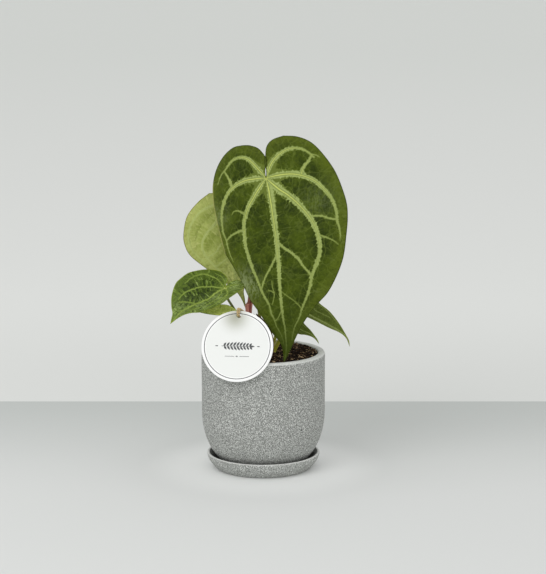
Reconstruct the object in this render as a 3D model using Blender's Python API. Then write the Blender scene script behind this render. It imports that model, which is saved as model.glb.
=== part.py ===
"""A young anthurium in a speckled stoneware pot on its saucer, with a round card tag.

The frame: origin at the centre of the saucer's underside, on the surface it stands on. +Z is up,
the pot's axis is Z, and the plant's front faces -Y. Sizes below are in millimetres and degrees.
"""

from dataclasses import dataclass
from math import cos, radians, sin, tau

import bpy
import numpy as np
from mathutils import Matrix, Vector

MM = 0.001
GAP = 0.3                      # left between pieces that touch

# Pot: a straight wall on a rounded foot.
POT_RADIUS = 62.5
POT_TOP = 120.0
POT_WALL = 7.1
POT_BASE = 5.0                 # its underside, above the table
POT_BASE_RADIUS = 31.0
POT_CORNER_TOP = 59.4          # where the rounded foot becomes the straight wall
POT_FLOOR = 7.0
FLOOR_INSET = 4.0              # the floor inside is this much narrower than the base
CORNER_RISE = 2.6              # inside, the rounded foot ends this much higher
DRAIN_RADIUS = 6.0
RIM_OUTER_ROUND = 2.5
RIM_INNER_ROUND = 1.8

# Saucer: a flat dish with a flared wall.
SAUCER_RADIUS = 57.5
SAUCER_HEIGHT = 16.0
SAUCER_FOOT_RADIUS = 47.0
SAUCER_FOOT_ROUND = 2.5
SAUCER_LIP = 4.0
SAUCER_WALL = ((52.6, 4.2), (55.8, 8.5))   # points on its bulging side
SAUCER_FLOOR = POT_BASE - GAP
SAUCER_WELL_RADIUS = 45.0      # the flat floor inside
SAUCER_COVE = (3.5, 2.2)       # width and height of the slope from the floor to the wall

# Potting mix, and the short stem that all the stalks grow from.
SOIL_TOP = 117.2
SOIL_PIT_DEPTH = 10.0
SOIL_MOUND = 0.8               # how much the soil swells half way to its middle
CROWN_HALF_LENGTH = 18.0       # along X
CROWN_HALF_WIDTH = 12.0        # along Y
CROWN_TOP = 118.5
# Shares of the crown's width and height, from its underside to its flat top.
CROWN_PROFILE = ((0.78, 0.0), (0.96, 0.22), (1.0, 0.69), (0.97, 0.92), (0.84, 1.0))
CROWN_SIDES = 24
STALK_START = CROWN_TOP + GAP

# Round card tag that leans on the pot's rim, and its twine.
TAG_RADIUS = 35.6
TAG_THICKNESS = 1.2
TAG_LEAN = 22.0                # back from upright
TAG_TURN = 6.0                 # to the left, seen from the front
TAG_CENTRE = (-25.4, 136.2)    # across and up; its depth follows from the lean on the rim
TAG_HOLE_RADIUS = 2.5
TAG_HOLE = (0.4, 31.0)         # across and up from the tag's centre
TAG_SIDES = 48
TWINE_RADIUS = 0.9
TWINE_POINTS = 64

# Red sheath round the tallest stalk; its mouth is cut at a slant, higher on the right.
SHEATH_FOOT = (-14.7, 0.0)
SHEATH_RADIUS = 3.7
SHEATH_BORE = 2.75
SHEATH_TOP = 170.0
SHEATH_SLANT = 0.45
SHEATH_SIDES = 14
SHEATH_LEVELS = 6

ROUND_SIDES = 40               # facets round the pot, its saucer and the soil
STALK_POINTS = 26
STALK_STRAIGHT = 4.0           # length of the straight stretch at each end of a stalk
STALK_END_GAP = 0.55           # at the stalk's middle, as the blade slopes away from it
RIB_BLEND = 4.0                # how gently a blade's left fold turns into its right one
WAVE_REACH = 60.0              # distance from the midrib where a blade's waves have their full height
WAVE_LIMIT = 1.2               # and beyond it they grow no more than this
SHARP_EDGE = 40.0              # faces that meet at a greater angle keep a crisp edge


@dataclass
class Leaf:
    """A heart-shaped blade, drawn flat and then bent and set on the plant.

    The flat chart looks down on the upper face with the tip pointing down. Its points are
    (across to the right, down from where the stalk meets the blade).
    """
    base: tuple                # where the stalk meets the blade
    tip: tuple
    facing: tuple              # compass turn to the right of -Y, and rise, of the upper face
    fold: tuple                # slope of the left and right halves as they leave the midrib
    crease: float              # how round the fold is
    arch: float                # bow of the midrib over the straight line from base to tip
    droop: float               # extra curl, growing with the square of the distance
    midrib: tuple
    left_sinus: tuple          # from the stalk up to the crest of the lobe
    left_margin: tuple         # from the crest round to the tip
    right_sinus: tuple
    right_margin: tuple
    waves: tuple = (0.0, 80.0, 0.0, 0.0)   # height, length, phase on the left and on the right
    thickness: float = 0.8
    rows: tuple = (4, 14)      # along the lobe and along the midrib
    columns: int = 4


LEAVES = {
    "leaf_main": Leaf(
        base=(2.9, -10.0, 297.6), tip=(21.1, -54.5, 121.2), facing=(-18, 0),
        fold=(-0.24, -0.24), crease=8.0, arch=6.0, droop=-0.0012,
        midrib=((0, 0), (2.5, 16), (5, 46), (6.3, 70), (5.6, 100), (5.5, 135), (4.9, 155), (4, 168),
                (2.4, 177), (0, 183)),
        left_sinus=((0, 0), (-0.5, -9), (-0.8, -15), (-1.5, -20.5), (-8, -30.5), (-17, -36), (-26, -37.7)),
        left_margin=((-26, -37.7), (-37, -37.2), (-49.5, -30.5), (-59, -19), (-63.5, -5), (-64.3, 12),
                     (-63, 33), (-60.5, 50), (-56, 67), (-49.4, 78), (-44, 87.5), (-38, 99.5),
                     (-30.7, 118), (-22, 131.4), (-14.5, 145), (-7.3, 157), (-2.6, 163), (-0.3, 170),
                     (0.2, 177), (0, 183)),
        right_sinus=((0, 0), (0.4, -9), (0.4, -15), (0.3, -21), (2, -31.5), (8, -38), (19, -41)),
        right_margin=((19, -41), (32.5, -38.5), (45.5, -31), (57.5, -16), (67, 1.5), (72.5, 21.5),
                      (75, 40), (73.5, 63), (67.3, 89), (52, 117), (39, 130.5), (27, 143.5),
                      (17, 157.5), (8.5, 170.5), (3, 178), (0, 183)),
        waves=(1.6, 78.0, 0.6, 2.0), thickness=0.9, rows=(7, 22), columns=6),
    "leaf_back": Leaf(
        base=(-41.4, 48.0, 260.4), tip=(-17.9, 30.0, 156.4), facing=(174, 0),
        fold=(-0.12, -0.12), crease=6.0, arch=-2.0, droop=-0.001,
        midrib=((0, 0), (1, 30), (2, 60), (2.5, 85), (0, 108)),
        left_sinus=((0, 0), (-0.6, -4), (-1.2, -9), (-6, -16), (-13, -18)),
        left_margin=((-13, -18), (-24, -15), (-34, -6), (-41, 8), (-42, 25), (-37, 45), (-27, 61),
                     (-13, 75), (-3, 87), (-1.5, 97), (0, 108)),
        right_sinus=((0, 0), (0.6, -4), (1, -9), (4, -15), (11, -17)),
        right_margin=((11, -17), (24, -10.5), (37.5, 1), (44.5, 17), (46, 29), (42.5, 42), (30, 58),
                      (17, 73), (7, 85), (2, 96), (0, 108)),
        waves=(0.8, 60.0, 0.0, 1.5), thickness=0.7, rows=(4, 16), columns=5),
    "leaf_left": Leaf(
        base=(-38.1, 0.0, 184.5), tip=(-92.5, -30.0, 153.8), facing=(-20, 50),
        fold=(0.3, 0.3), crease=5.0, arch=3.0, droop=0.001,
        midrib=((0, 0), (0, 12), (2, 21), (1, 29), (-3.6, 48.7), (-3.5, 54), (0, 69.3)),
        left_sinus=((0, 0), (-3.3, -3), (-8.5, -9), (-14, -10.6)),
        left_margin=((-14, -10.6), (-21.2, -8.2), (-28.4, 1.7), (-33.3, 17.5), (-32.8, 30.7),
                     (-31, 38.6), (-24, 48.8), (-15.4, 56), (-8.5, 60), (-4.6, 64.3), (0, 69.3)),
        right_sinus=((0, 0), (-2.6, -4), (-4.3, -10), (-4, -17), (0.5, -20.5)),
        right_margin=((0.5, -20.5), (7, -19), (12.5, -13), (17, -2), (20.4, 13), (21.2, 20),
                      (20.5, 28.7), (15, 41), (8.3, 46.2), (3.1, 52.2), (0.5, 60), (0, 69.3)),
        waves=(0.5, 30.0, 0.0, 1.0), thickness=0.7, rows=(4, 14), columns=5),
    "leaf_low_left": Leaf(
        base=(-27.4, -8.0, 160.7), tip=(-67.3, -16.0, 163.8), facing=(-10, 65),
        fold=(0.2, 0.2), crease=3.0, arch=3.0, droop=0.0,
        midrib=((0, 0), (1, 14), (1.5, 28), (0.5, 36), (0, 40.8)),
        left_sinus=((0, 0), (-0.6, -1.5), (-2.5, -2.8), (-4, -2.5)),
        left_margin=((-4, -2.5), (-7.5, 3), (-8.9, 9), (-8, 15.5), (-6, 23), (-3, 32), (0, 40.8)),
        right_sinus=((0, 0), (0.6, -1.5), (2.6, -3), (4.2, -2.8)),
        right_margin=((4.2, -2.8), (8, 1), (11, 10), (12.2, 20), (11, 25.5), (7.5, 32.3), (0, 40.8)),
        thickness=0.7, rows=(3, 10), columns=3),
    "leaf_right_upper": Leaf(
        base=(24.0, 12.0, 171.3), tip=(87.4, 0.0, 124.3), facing=(10, 55),
        fold=(0.45, 0.25), crease=4.0, arch=6.0, droop=0.0,
        midrib=((0, 0), (-2.5, 15), (-3.2, 28), (-0.5, 42), (2.5, 53), (5.8, 66), (5.3, 72), (0, 79.8)),
        left_sinus=((0, 0), (-1, -3), (-5, -7), (-8, -7.5)),
        left_margin=((-8, -7.5), (-13, -3), (-15, 6), (-13, 18), (-8.3, 29), (-3.8, 46), (-1.3, 53),
                     (2.2, 60), (4.4, 66.5), (4.1, 73), (0, 79.8)),
        right_sinus=((0, 0), (1, -3), (4.5, -7.5), (8, -8.5)),
        right_margin=((8, -8.5), (13.5, -5), (17, 4), (16.5, 16), (14, 30), (13.8, 42), (10.8, 58),
                      (6.5, 72), (3.9, 76.6), (0, 79.8)),
        thickness=0.7, rows=(3, 14), columns=4),
    "leaf_right_lower": Leaf(
        base=(15.9, 12.0, 151.6), tip=(56.4, 0.0, 127.1), facing=(10, 55),
        fold=(0.4, 0.25), crease=3.0, arch=4.0, droop=0.0,
        midrib=((0, 0), (-1.5, 12), (-1.5, 22), (1, 32), (2.6, 38), (2, 43), (0, 48.8)),
        left_sinus=((0, 0), (-0.6, -2), (-3, -4.5), (-5, -5)),
        left_margin=((-5, -5), (-8.5, -2), (-11, 5), (-12, 14), (-9, 27), (-3.9, 32.3), (-0.5, 37),
                     (1.2, 41.5), (0.7, 46), (0, 48.8)),
        right_sinus=((0, 0), (0.6, -2), (3, -4.5), (5, -5)),
        right_margin=((5, -5), (9, -2), (11, 5), (10.5, 14), (7, 26), (5.7, 34.3), (2.8, 44.8), (0, 48.8)),
        thickness=0.7, rows=(3, 11), columns=3),
}

# Each stalk rises from the crown and ends behind its blade: the points between are its route.
STALKS = {
    "petiole_main": dict(leaf="leaf_main", foot=SHEATH_FOOT, radii=(2.2, 1.6),
                         route=((-15, 0, 148), (-13.8, 1.2, 172), (-7, 8, 212), (0.5, 15.5, 250),
                                (6.5, 19.5, 280), (9, 17, 295), (8, 7, 301))),
    "petiole_back": dict(leaf="leaf_back", foot=(-2.0, 7.5), radii=(1.7, 1.2),
                         route=((-2.6, 10.5, 140), (-7, 20, 175), (-17, 32, 215), (-31, 40, 247),
                                (-38.5, 42, 258))),
    "petiole_left": dict(leaf="leaf_left", foot=(-9.0, -7.0), radii=(1.4, 1.0),
                         route=((-12, -7, 129), (-20, -4.5, 147), (-28.7, 1.5, 161.5), (-35.2, 4, 171.5),
                                (-38.6, 3.6, 178))),
    "petiole_low_left": dict(leaf="leaf_low_left", foot=(-4.0, -7.5), radii=(1.1, 0.8),
                             route=((-8, -10.5, 130), (-17, -11, 143), (-25.0, -8.8, 154))),
    "petiole_right_upper": dict(leaf="leaf_right_upper", foot=(10.8, 0.0), radii=(1.9, 1.2),
                                route=((16, -3.5, 131), (20.5, -7.5, 142), (22, -4, 155),
                                       (22.3, 7, 163.5))),
    "petiole_right_lower": dict(leaf="leaf_right_lower", foot=(9.5, 5.5), radii=(1.4, 1.0),
                                route=((11.3, 4.5, 130), (13.8, 7.5, 142))),
}

# Dry brown bract beside the stalks: its route, and its half-width along it.
BRACT_ROUTE = ((11.5, -6.5, STALK_START), (9.5, -9, 129), (4.5, -12, 144),
               (-1.5, -13.5, 154), (-7, -14, 161))
BRACT_HALF_WIDTHS = (2.6, 3.4, 3.6, 2.6, 0.5)
BRACT_HALF_THICKNESS = 0.4
BRACT_SECTIONS = 10
BRACT_SIDES = 8

# colour, roughness
FINISHES = {
    "glaze_grey": ((0.33, 0.34, 0.33), 0.55),
    "soil_brown": ((0.05, 0.032, 0.02), 0.95),
    "stem_green": ((0.19, 0.22, 0.05), 0.5),
    "stem_red": ((0.28, 0.06, 0.05), 0.5),
    "blade_green": ((0.06, 0.12, 0.02), 0.4),
    "blade_pale": ((0.32, 0.42, 0.12), 0.5),
    "bract_brown": ((0.09, 0.05, 0.02), 0.8),
    "card_white": ((0.86, 0.87, 0.86), 0.7),
    "twine_tan": ((0.55, 0.43, 0.24), 0.9),
}


def clear_scene():
    for thing in list(bpy.data.objects):
        bpy.data.objects.remove(thing, do_unlink=True)


def finish(name):
    """The plain material of that name, made once."""
    if name in bpy.data.materials:
        return bpy.data.materials[name]
    colour, roughness = FINISHES[name]
    material = bpy.data.materials.new(name)
    material.use_nodes = True
    shader = material.node_tree.nodes["Principled BSDF"]
    shader.inputs["Base Color"].default_value = (*colour, 1.0)
    shader.inputs["Roughness"].default_value = roughness
    return material


def add_object(name, data, finish_name, plant):
    piece = bpy.data.objects.new(name, data)
    piece.data.materials.append(finish(finish_name))
    piece.parent = plant
    bpy.context.collection.objects.link(piece)
    return piece


def smooth_curve(points, count, closed=False):
    """Even points on a smooth curve through the given ones; a closed one stops a step short of its start."""
    points = np.array(points, float)
    if closed:
        padded = np.vstack([points[-1], points, points[:2]])
    else:
        before = 2 * points[0] - points[1]
        after = 2 * points[-1] - points[-2]
        padded = np.vstack([before, points, after])
    steps = np.linspace(0, 1, 12, endpoint=False)[:, None]
    dense = []
    for a, b, c, d in zip(padded, padded[1:], padded[2:], padded[3:]):
        dense.append(0.5 * (2 * b + (c - a) * steps + (2 * a - 5 * b + 4 * c - d) * steps ** 2
                            + (3 * b - a - 3 * c + d) * steps ** 3))
    dense = np.vstack([*dense, padded[-2]])
    lengths = np.concatenate([[0], np.cumsum(np.linalg.norm(np.diff(dense, axis=0), axis=1))])
    even = np.linspace(0, lengths[-1], count, endpoint=not closed)
    return np.stack([np.interp(even, lengths, dense[:, axis]) for axis in range(points.shape[1])], axis=1)


def circle(radius, height, sides=ROUND_SIDES, centre=(0.0, 0.0), stretch=1.0):
    """A level ring of points, radius along X and radius times stretch along Y."""
    x, y = centre
    angles = [tau * k / sides for k in range(sides)]
    return [(x + radius * cos(angle), y + radius * stretch * sin(angle), height) for angle in angles]


def loft(name, rings, finish_name, plant, closed=False):
    """A skin over rings of points, capped at both ends; if closed, its last ring joins its first instead."""
    sides = len(rings[0])
    points = [Vector(point) * MM for ring in rings for point in ring]
    faces = []
    last = len(rings) if closed else len(rings) - 1
    for row in range(last):
        here = row * sides
        there = (row + 1) % len(rings) * sides
        for k in range(sides):
            turn = (k + 1) % sides
            faces.append((here + k, here + turn, there + turn, there + k))
    if not closed:
        faces.append(tuple(range(sides))[::-1])
        faces.append(tuple(range((len(rings) - 1) * sides, len(rings) * sides)))
    mesh = bpy.data.meshes.new(name)
    mesh.from_pydata(points, [], faces)
    turn_outward(mesh)
    mesh.shade_smooth()
    mesh.set_sharp_from_angle(angle=radians(SHARP_EDGE))
    return add_object(name, mesh, finish_name, plant)


def turn_outward(mesh):
    """Flip every face where the skin was drawn inside out, so that its volume is positive."""
    volume = 0.0
    for polygon in mesh.polygons:
        corners = [mesh.vertices[index].co for index in polygon.vertices]
        for second, third in zip(corners[1:], corners[2:]):
            volume += corners[0].dot(second.cross(third))
    if volume < 0:
        mesh.flip_normals()


def turned(name, profile, finish_name, plant):
    """A ring-shaped body, its closed outline of (radius, height) points turned round Z."""
    rings = [circle(radius, height) for radius, height in profile]
    return loft(name, rings, finish_name, plant, closed=True)


def quarter(centre, half_width, half_height, start, end, steps):
    """Points on a stretch of an ellipse, angles from +radius towards +height."""
    return [(centre[0] + half_width * cos(angle), centre[1] + half_height * sin(angle))
            for angle in np.linspace(radians(start), radians(end), steps)]


def foot_curve(inset, steps=9):
    """The pot's rounded foot from the wall down to the base, or the one inside the pot, inset from there."""
    flat_edge = POT_BASE_RADIUS
    bottom = POT_BASE
    top = POT_CORNER_TOP
    if inset > 0:
        flat_edge -= FLOOR_INSET
        bottom += POT_FLOOR + inset - POT_WALL
        top += CORNER_RISE
    return quarter((flat_edge, top), POT_RADIUS - inset - flat_edge, top - bottom, 0, -90, steps)


def make_pot(plant):
    inner = POT_RADIUS - POT_WALL
    outer_lip = quarter((POT_RADIUS - RIM_OUTER_ROUND, POT_TOP - RIM_OUTER_ROUND),
                        RIM_OUTER_ROUND, RIM_OUTER_ROUND, 90, 0, 4)
    inner_lip = quarter((inner + RIM_INNER_ROUND, POT_TOP - RIM_INNER_ROUND),
                        RIM_INNER_ROUND, RIM_INNER_ROUND, 180, 90, 4)
    drain = [(DRAIN_RADIUS, POT_BASE), (DRAIN_RADIUS, POT_BASE + POT_FLOOR)]
    profile = outer_lip + foot_curve(0.0) + drain + foot_curve(POT_WALL)[::-1] + inner_lip
    turned("pot", profile, "glaze_grey", plant)


def make_saucer(plant):
    """A solid dish: rings from the middle of its underside, up round the lip and in over its floor."""
    lip_round = SAUCER_LIP / 2
    foot_centre = (SAUCER_FOOT_RADIUS, SAUCER_FOOT_ROUND)
    foot = quarter(foot_centre, SAUCER_FOOT_ROUND, SAUCER_FOOT_ROUND, -60, -20, 3)
    lip = quarter((SAUCER_RADIUS - lip_round, SAUCER_HEIGHT - lip_round), lip_round, lip_round, -10, 190, 6)
    cove_width, cove_height = SAUCER_COVE
    profile = [(SAUCER_FOOT_RADIUS - SAUCER_FOOT_ROUND, 0.0), *foot, *SAUCER_WALL, *lip]
    profile.append((SAUCER_WELL_RADIUS + cove_width, SAUCER_FLOOR + cove_height))
    profile.append((SAUCER_WELL_RADIUS, SAUCER_FLOOR))
    loft("saucer", [circle(radius, height) for radius, height in profile], "glaze_grey", plant)


def make_soil(plant):
    """The root ball: it fills the pot, with a pit in its top for the crown."""
    stretch = (CROWN_HALF_WIDTH + GAP) / (CROWN_HALF_LENGTH + GAP)
    pit = CROWN_HALF_LENGTH + GAP
    edge = POT_RADIUS - POT_WALL - GAP
    rings = [circle(pit, SOIL_TOP - SOIL_PIT_DEPTH, stretch=stretch),
             circle(pit, SOIL_TOP, stretch=stretch),
             circle(0.6 * edge, SOIL_TOP + SOIL_MOUND),
             circle(edge, SOIL_TOP)]
    rings += [circle(radius, height) for radius, height in foot_curve(POT_WALL + GAP)]
    loft("soil", rings, "soil_brown", plant)


def make_crown(plant):
    """The short stem, half sunk in the soil's pit, with a flat top for the stalks."""
    stretch = CROWN_HALF_WIDTH / CROWN_HALF_LENGTH
    bottom = SOIL_TOP - SOIL_PIT_DEPTH + GAP
    tall = CROWN_TOP - bottom
    rings = [circle(CROWN_HALF_LENGTH * width, bottom + tall * height, CROWN_SIDES, stretch=stretch)
             for width, height in CROWN_PROFILE]
    loft("stem_base", rings, "stem_green", plant)


def blade_frame(leaf):
    """The blade's axes (across, up the blade, out of its upper face), its origin and its length."""
    base = Vector(leaf.base)
    down = Vector(leaf.tip) - base
    length = down.length
    down.normalize()
    turn, rise = (radians(angle) for angle in leaf.facing)
    out = Vector((sin(turn) * cos(rise), -cos(turn) * cos(rise), sin(rise)))
    out = (out - down * out.dot(down)).normalized()
    across = out.cross(down)
    return across, -down, out, base, length


def blade_height(leaf, length, across, down):
    """How far the bent blade stands above its flat chart."""
    midrib = np.array(leaf.midrib, float)
    off_rib = across - np.interp(down, midrib[:, 1], midrib[:, 0])
    share = down / length
    right_share = 1 / (1 + np.exp(-off_rib / RIB_BLEND))
    slope = leaf.fold[0] * (1 - right_share) + leaf.fold[1] * right_share
    height = 4 * leaf.arch * share * (1 - share)
    height += slope * (np.hypot(off_rib, leaf.crease) - leaf.crease)
    height += leaf.droop * off_rib ** 2
    tall, long, left_phase, right_phase = leaf.waves
    phase = left_phase if off_rib < 0 else right_phase
    height += tall * min(abs(off_rib) / WAVE_REACH, WAVE_LIMIT) ** 2 * sin(tau * down / long + phase)
    return height


def make_blade(name, leaf, plant):
    """A thin sheet of rows that run from the midrib, or a lobe's inner edge, out to the margin."""
    *axes, base, length = blade_frame(leaf)
    lobe_rows, rib_rows = leaf.rows
    rows = lobe_rows + rib_rows
    points = []
    faces = []

    def place(across, down):
        points.append(Vector((across, -down, blade_height(leaf, length, across, down))) * MM)
        return len(points) - 1

    rib = [place(*point) for point in smooth_curve(leaf.midrib, rib_rows + 1)]
    halves = ((leaf.left_sinus, leaf.left_margin, True), (leaf.right_sinus, leaf.right_margin, False))
    for sinus, margin, on_left in halves:
        lobe = smooth_curve(sinus, lobe_rows + 1)[::-1]
        spine = np.vstack([lobe, smooth_curve(leaf.midrib, rib_rows + 1)[1:]])
        edge = smooth_curve(margin, rows + 1)
        grid = [[place(*edge[0])]]
        for row in range(1, rows):
            start = place(*spine[row]) if row < lobe_rows else rib[row - lobe_rows]
            line = [start]
            for column in range(1, leaf.columns + 1):
                line.append(place(*(spine[row] + (edge[row] - spine[row]) * column / leaf.columns)))
            grid.append(line)
        grid.append([rib[-1]])
        for upper, lower in zip(grid, grid[1:]):
            faces += strip_faces(upper, lower, on_left)
    mesh = bpy.data.meshes.new(name)
    mesh.from_pydata(points, [], faces)
    mesh.shade_smooth()
    blade = add_object(name, mesh, "blade_pale" if name == "leaf_back" else "blade_green", plant)
    blade.matrix_world = blade_matrix(axes, base)
    sheet = blade.modifiers.new("sheet thickness", "SOLIDIFY")
    sheet.thickness = leaf.thickness * MM
    sheet.offset = 0.0


def blade_matrix(axes, base):
    across, up, out = axes
    turn = Matrix((across, up, out)).transposed()
    return Matrix.Translation(base * MM) @ turn.to_4x4()


def strip_faces(upper, lower, on_left):
    """Faces between two rows of points; a row of one point is a corner."""
    faces = []
    for k in range(max(len(upper), len(lower)) - 1):
        if len(upper) == 1:
            face = (upper[0], lower[k + 1], lower[k])
        elif len(lower) == 1:
            face = (upper[k], upper[k + 1], lower[0])
        else:
            face = (upper[k], upper[k + 1], lower[k + 1], lower[k])
        faces.append(face if on_left else face[::-1])
    return faces


def stalk_line(stalk):
    """The middle of a stalk, which starts upright and ends square behind its blade, a gap short of it."""
    leaf = LEAVES[stalk["leaf"]]
    _, _, out, base, _ = blade_frame(leaf)
    end = base - out * (leaf.thickness / 2 + STALK_END_GAP)
    foot = (*stalk["foot"], STALK_START)
    above_foot = (*stalk["foot"], STALK_START + STALK_STRAIGHT)
    before_end = end - out * STALK_STRAIGHT
    bend = smooth_curve([above_foot, *stalk["route"], tuple(before_end)], STALK_POINTS - 2)
    return np.vstack([foot, bend, tuple(end)])


def make_stalk(name, stalk, plant):
    """A tapering round stalk."""
    route = stalk_line(stalk)
    curve = bpy.data.curves.new(name, "CURVE")
    curve.dimensions = "3D"
    curve.bevel_depth = MM
    curve.bevel_resolution = 2
    curve.use_fill_caps = True
    curve.render_resolution_u = 0
    line = curve.splines.new("POLY")
    line.points.add(len(route) - 1)
    first_radius, last_radius = stalk["radii"]
    for share, point, position in zip(np.linspace(0, 1, len(route)), line.points, route):
        point.co = (*(position * MM), 1.0)
        point.radius = first_radius + (last_radius - first_radius) * share
    red = name == "petiole_main"
    return add_object(name, curve, "stem_red" if red else "stem_green", plant)


def make_red_sheath(plant):
    """A sleeve round the tallest stalk, open at both ends."""
    stalk = stalk_line(STALKS["petiole_main"])
    levels = np.linspace(STALK_START, SHEATH_TOP, SHEATH_LEVELS)

    def ring(radius, level):
        middle = (np.interp(level, stalk[:, 2], stalk[:, 0]), np.interp(level, stalk[:, 2], stalk[:, 1]))
        slant = SHEATH_SLANT * (level - STALK_START) / (SHEATH_TOP - STALK_START)
        level_ring = circle(radius, level, SHEATH_SIDES, middle)
        return [(x, y, z + slant * (x - middle[0])) for x, y, z in level_ring]

    rings = [ring(SHEATH_RADIUS, level) for level in levels]
    rings += [ring(SHEATH_BORE, level) for level in levels[::-1]]
    loft("cataphyll_red", rings, "stem_red", plant, closed=True)


def make_brown_bract(plant):
    """A dry leaf-like scale: a flat oval section that narrows to a point."""
    route = smooth_curve(BRACT_ROUTE, BRACT_SECTIONS)
    shares = np.linspace(0, 1, BRACT_SECTIONS)
    widths = np.interp(shares, np.linspace(0, 1, len(BRACT_HALF_WIDTHS)), BRACT_HALF_WIDTHS)
    headings = np.gradient(route, axis=0)
    headings[0] = (0, 0, 1)
    rings = []
    for middle, heading, half_width in zip(route, headings, widths):
        ahead = Vector(heading).normalized()
        side = ahead.cross(Vector((0, 1, 0))).normalized()
        face = side.cross(ahead)
        ring = []
        for k in range(BRACT_SIDES):
            angle = tau * k / BRACT_SIDES
            offset = side * half_width * cos(angle) + face * BRACT_HALF_THICKNESS * sin(angle)
            ring.append(Vector(middle) + offset)
        rings.append(ring)
    loft("cataphyll_brown", rings, "bract_brown", plant)


def tag_frame():
    """The tag's axes (right, up, out of its front) and its centre, from its lean on the rim."""
    lean, turn = radians(TAG_LEAN), radians(TAG_TURN)
    out = Vector((-sin(turn) * cos(lean), -cos(turn) * cos(lean), sin(lean)))
    right = Vector((cos(turn), -sin(turn), 0.0))
    up = out.cross(right)
    rim_reach = cos(lean) * (POT_RADIUS - RIM_OUTER_ROUND) + sin(lean) * (POT_TOP - RIM_OUTER_ROUND)
    plane = rim_reach + RIM_OUTER_ROUND + GAP + TAG_THICKNESS / 2
    x, z = TAG_CENTRE
    y = (plane - out.x * x - out.z * z) / out.y
    return right, up, out, Vector((x, y, z))


def make_tag(plant):
    """A round card with a punched hole near its top: rings from the hole out to the edge, and back."""
    right, up, out, centre = tag_frame()
    hole = Vector(TAG_HOLE)

    def ring(share, height):
        line = []
        for k in range(TAG_SIDES):
            angle = tau * k / TAG_SIDES
            way = Vector((cos(angle), sin(angle)))
            spot = (hole + way * TAG_HOLE_RADIUS) * (1 - share) + way * TAG_RADIUS * share
            line.append(centre + right * spot.x + up * spot.y + out * height)
        return line

    half = TAG_THICKNESS / 2
    rings = [ring(0, -half), ring(0, half), ring(1, half), ring(1, -half)]
    loft("tag", rings, "card_white", plant, closed=True)


def make_twine(plant):
    """One closed loop: through the hole, over the tag's top edge, and round the red sheath."""
    right, up, out, centre = tag_frame()
    clear = TAG_THICKNESS / 2 + GAP + TWINE_RADIUS

    def on_tag(across, height, forward):
        return tuple(centre + right * across + up * height + out * forward)

    bend = SHEATH_RADIUS + 1.5 * GAP + TWINE_RADIUS + 0.15
    x, y = SHEATH_FOOT
    over_edge = TAG_RADIUS + GAP + TWINE_RADIUS
    in_front = [on_tag(0.4, 31.0, 0), on_tag(0.5, 31.3, clear + 0.3), on_tag(0.8, 34.4, clear + 0.4),
                on_tag(1.2, over_edge + 0.3, clear - 0.8), on_tag(2.0, over_edge + 0.2, -1.2)]
    round_sheath = [(-16, -22, 162.6), (x + bend - 0.6, y - 7, 157.6), (x + bend, y, 156.9),
                    (x + 3.4, y + 3.6, 156.8), (x, y + bend, 156.8), (x - 3.4, y + 3.6, 157),
                    (x - bend, y, 157.3), (x - bend - 0.3, y - 7, 158), (-21, -22, 158.6)]
    behind = [on_tag(0.3, 30.8, -6.5), on_tag(0.3, 30.9, -2.5)]
    loop = smooth_curve(in_front + round_sheath + behind, TWINE_POINTS, closed=True)
    curve = bpy.data.curves.new("tag_twine", "CURVE")
    curve.dimensions = "3D"
    curve.bevel_depth = TWINE_RADIUS * MM
    curve.bevel_resolution = 2
    curve.render_resolution_u = 0
    line = curve.splines.new("POLY")
    line.points.add(len(loop) - 1)
    line.use_cyclic_u = True
    for point, position in zip(line.points, loop):
        point.co = (*(position * MM), 1.0)
    return add_object("tag_twine", curve, "twine_tan", plant)


def main():
    clear_scene()
    plant = bpy.data.objects.new("potted_plant", None)
    bpy.context.collection.objects.link(plant)
    make_saucer(plant)
    make_pot(plant)
    make_soil(plant)
    make_crown(plant)
    for name, stalk in STALKS.items():
        make_stalk(name, stalk, plant)
    for name, leaf in LEAVES.items():
        make_blade(name, leaf, plant)
    make_red_sheath(plant)
    make_brown_bract(plant)
    make_tag(plant)
    make_twine(plant)


main()
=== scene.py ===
"""The looks of a potted anthurium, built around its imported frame.

Everything stands in the frame's own axes: the origin is at the centre of the saucer's underside, +Z is
up and the plant's front faces -Y. Sizes in this file are in millimetres, and MM turns them into metres.
"""

from dataclasses import dataclass
from math import cos, pi, radians, sin, tau
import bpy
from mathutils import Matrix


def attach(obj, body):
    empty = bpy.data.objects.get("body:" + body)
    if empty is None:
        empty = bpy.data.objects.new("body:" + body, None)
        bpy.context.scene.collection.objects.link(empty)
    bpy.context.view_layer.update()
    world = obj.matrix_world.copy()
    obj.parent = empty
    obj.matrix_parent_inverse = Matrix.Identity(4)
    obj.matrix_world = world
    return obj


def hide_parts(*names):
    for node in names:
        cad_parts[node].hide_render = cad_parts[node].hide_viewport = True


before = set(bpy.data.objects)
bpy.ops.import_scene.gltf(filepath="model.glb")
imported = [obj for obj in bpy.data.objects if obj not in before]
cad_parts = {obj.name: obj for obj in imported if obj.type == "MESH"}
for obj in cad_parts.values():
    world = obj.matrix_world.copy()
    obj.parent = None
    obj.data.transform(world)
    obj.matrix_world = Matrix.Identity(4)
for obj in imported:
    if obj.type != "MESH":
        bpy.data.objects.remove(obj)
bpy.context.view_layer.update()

from types import SimpleNamespace

import bmesh
import bpy
import numpy as np
from mathutils import Vector, noise

MM = 0.001

# The camera, fitted to the ellipses of the photo's pot and saucer.
CAMERA_PLACE = (9.8, -2000.0, 550.0)
CAMERA_TILT = 10.32            # down from level
CAMERA_LENS = 126.53           # on a 36 mm sensor
SENSOR = 36.0

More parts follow.
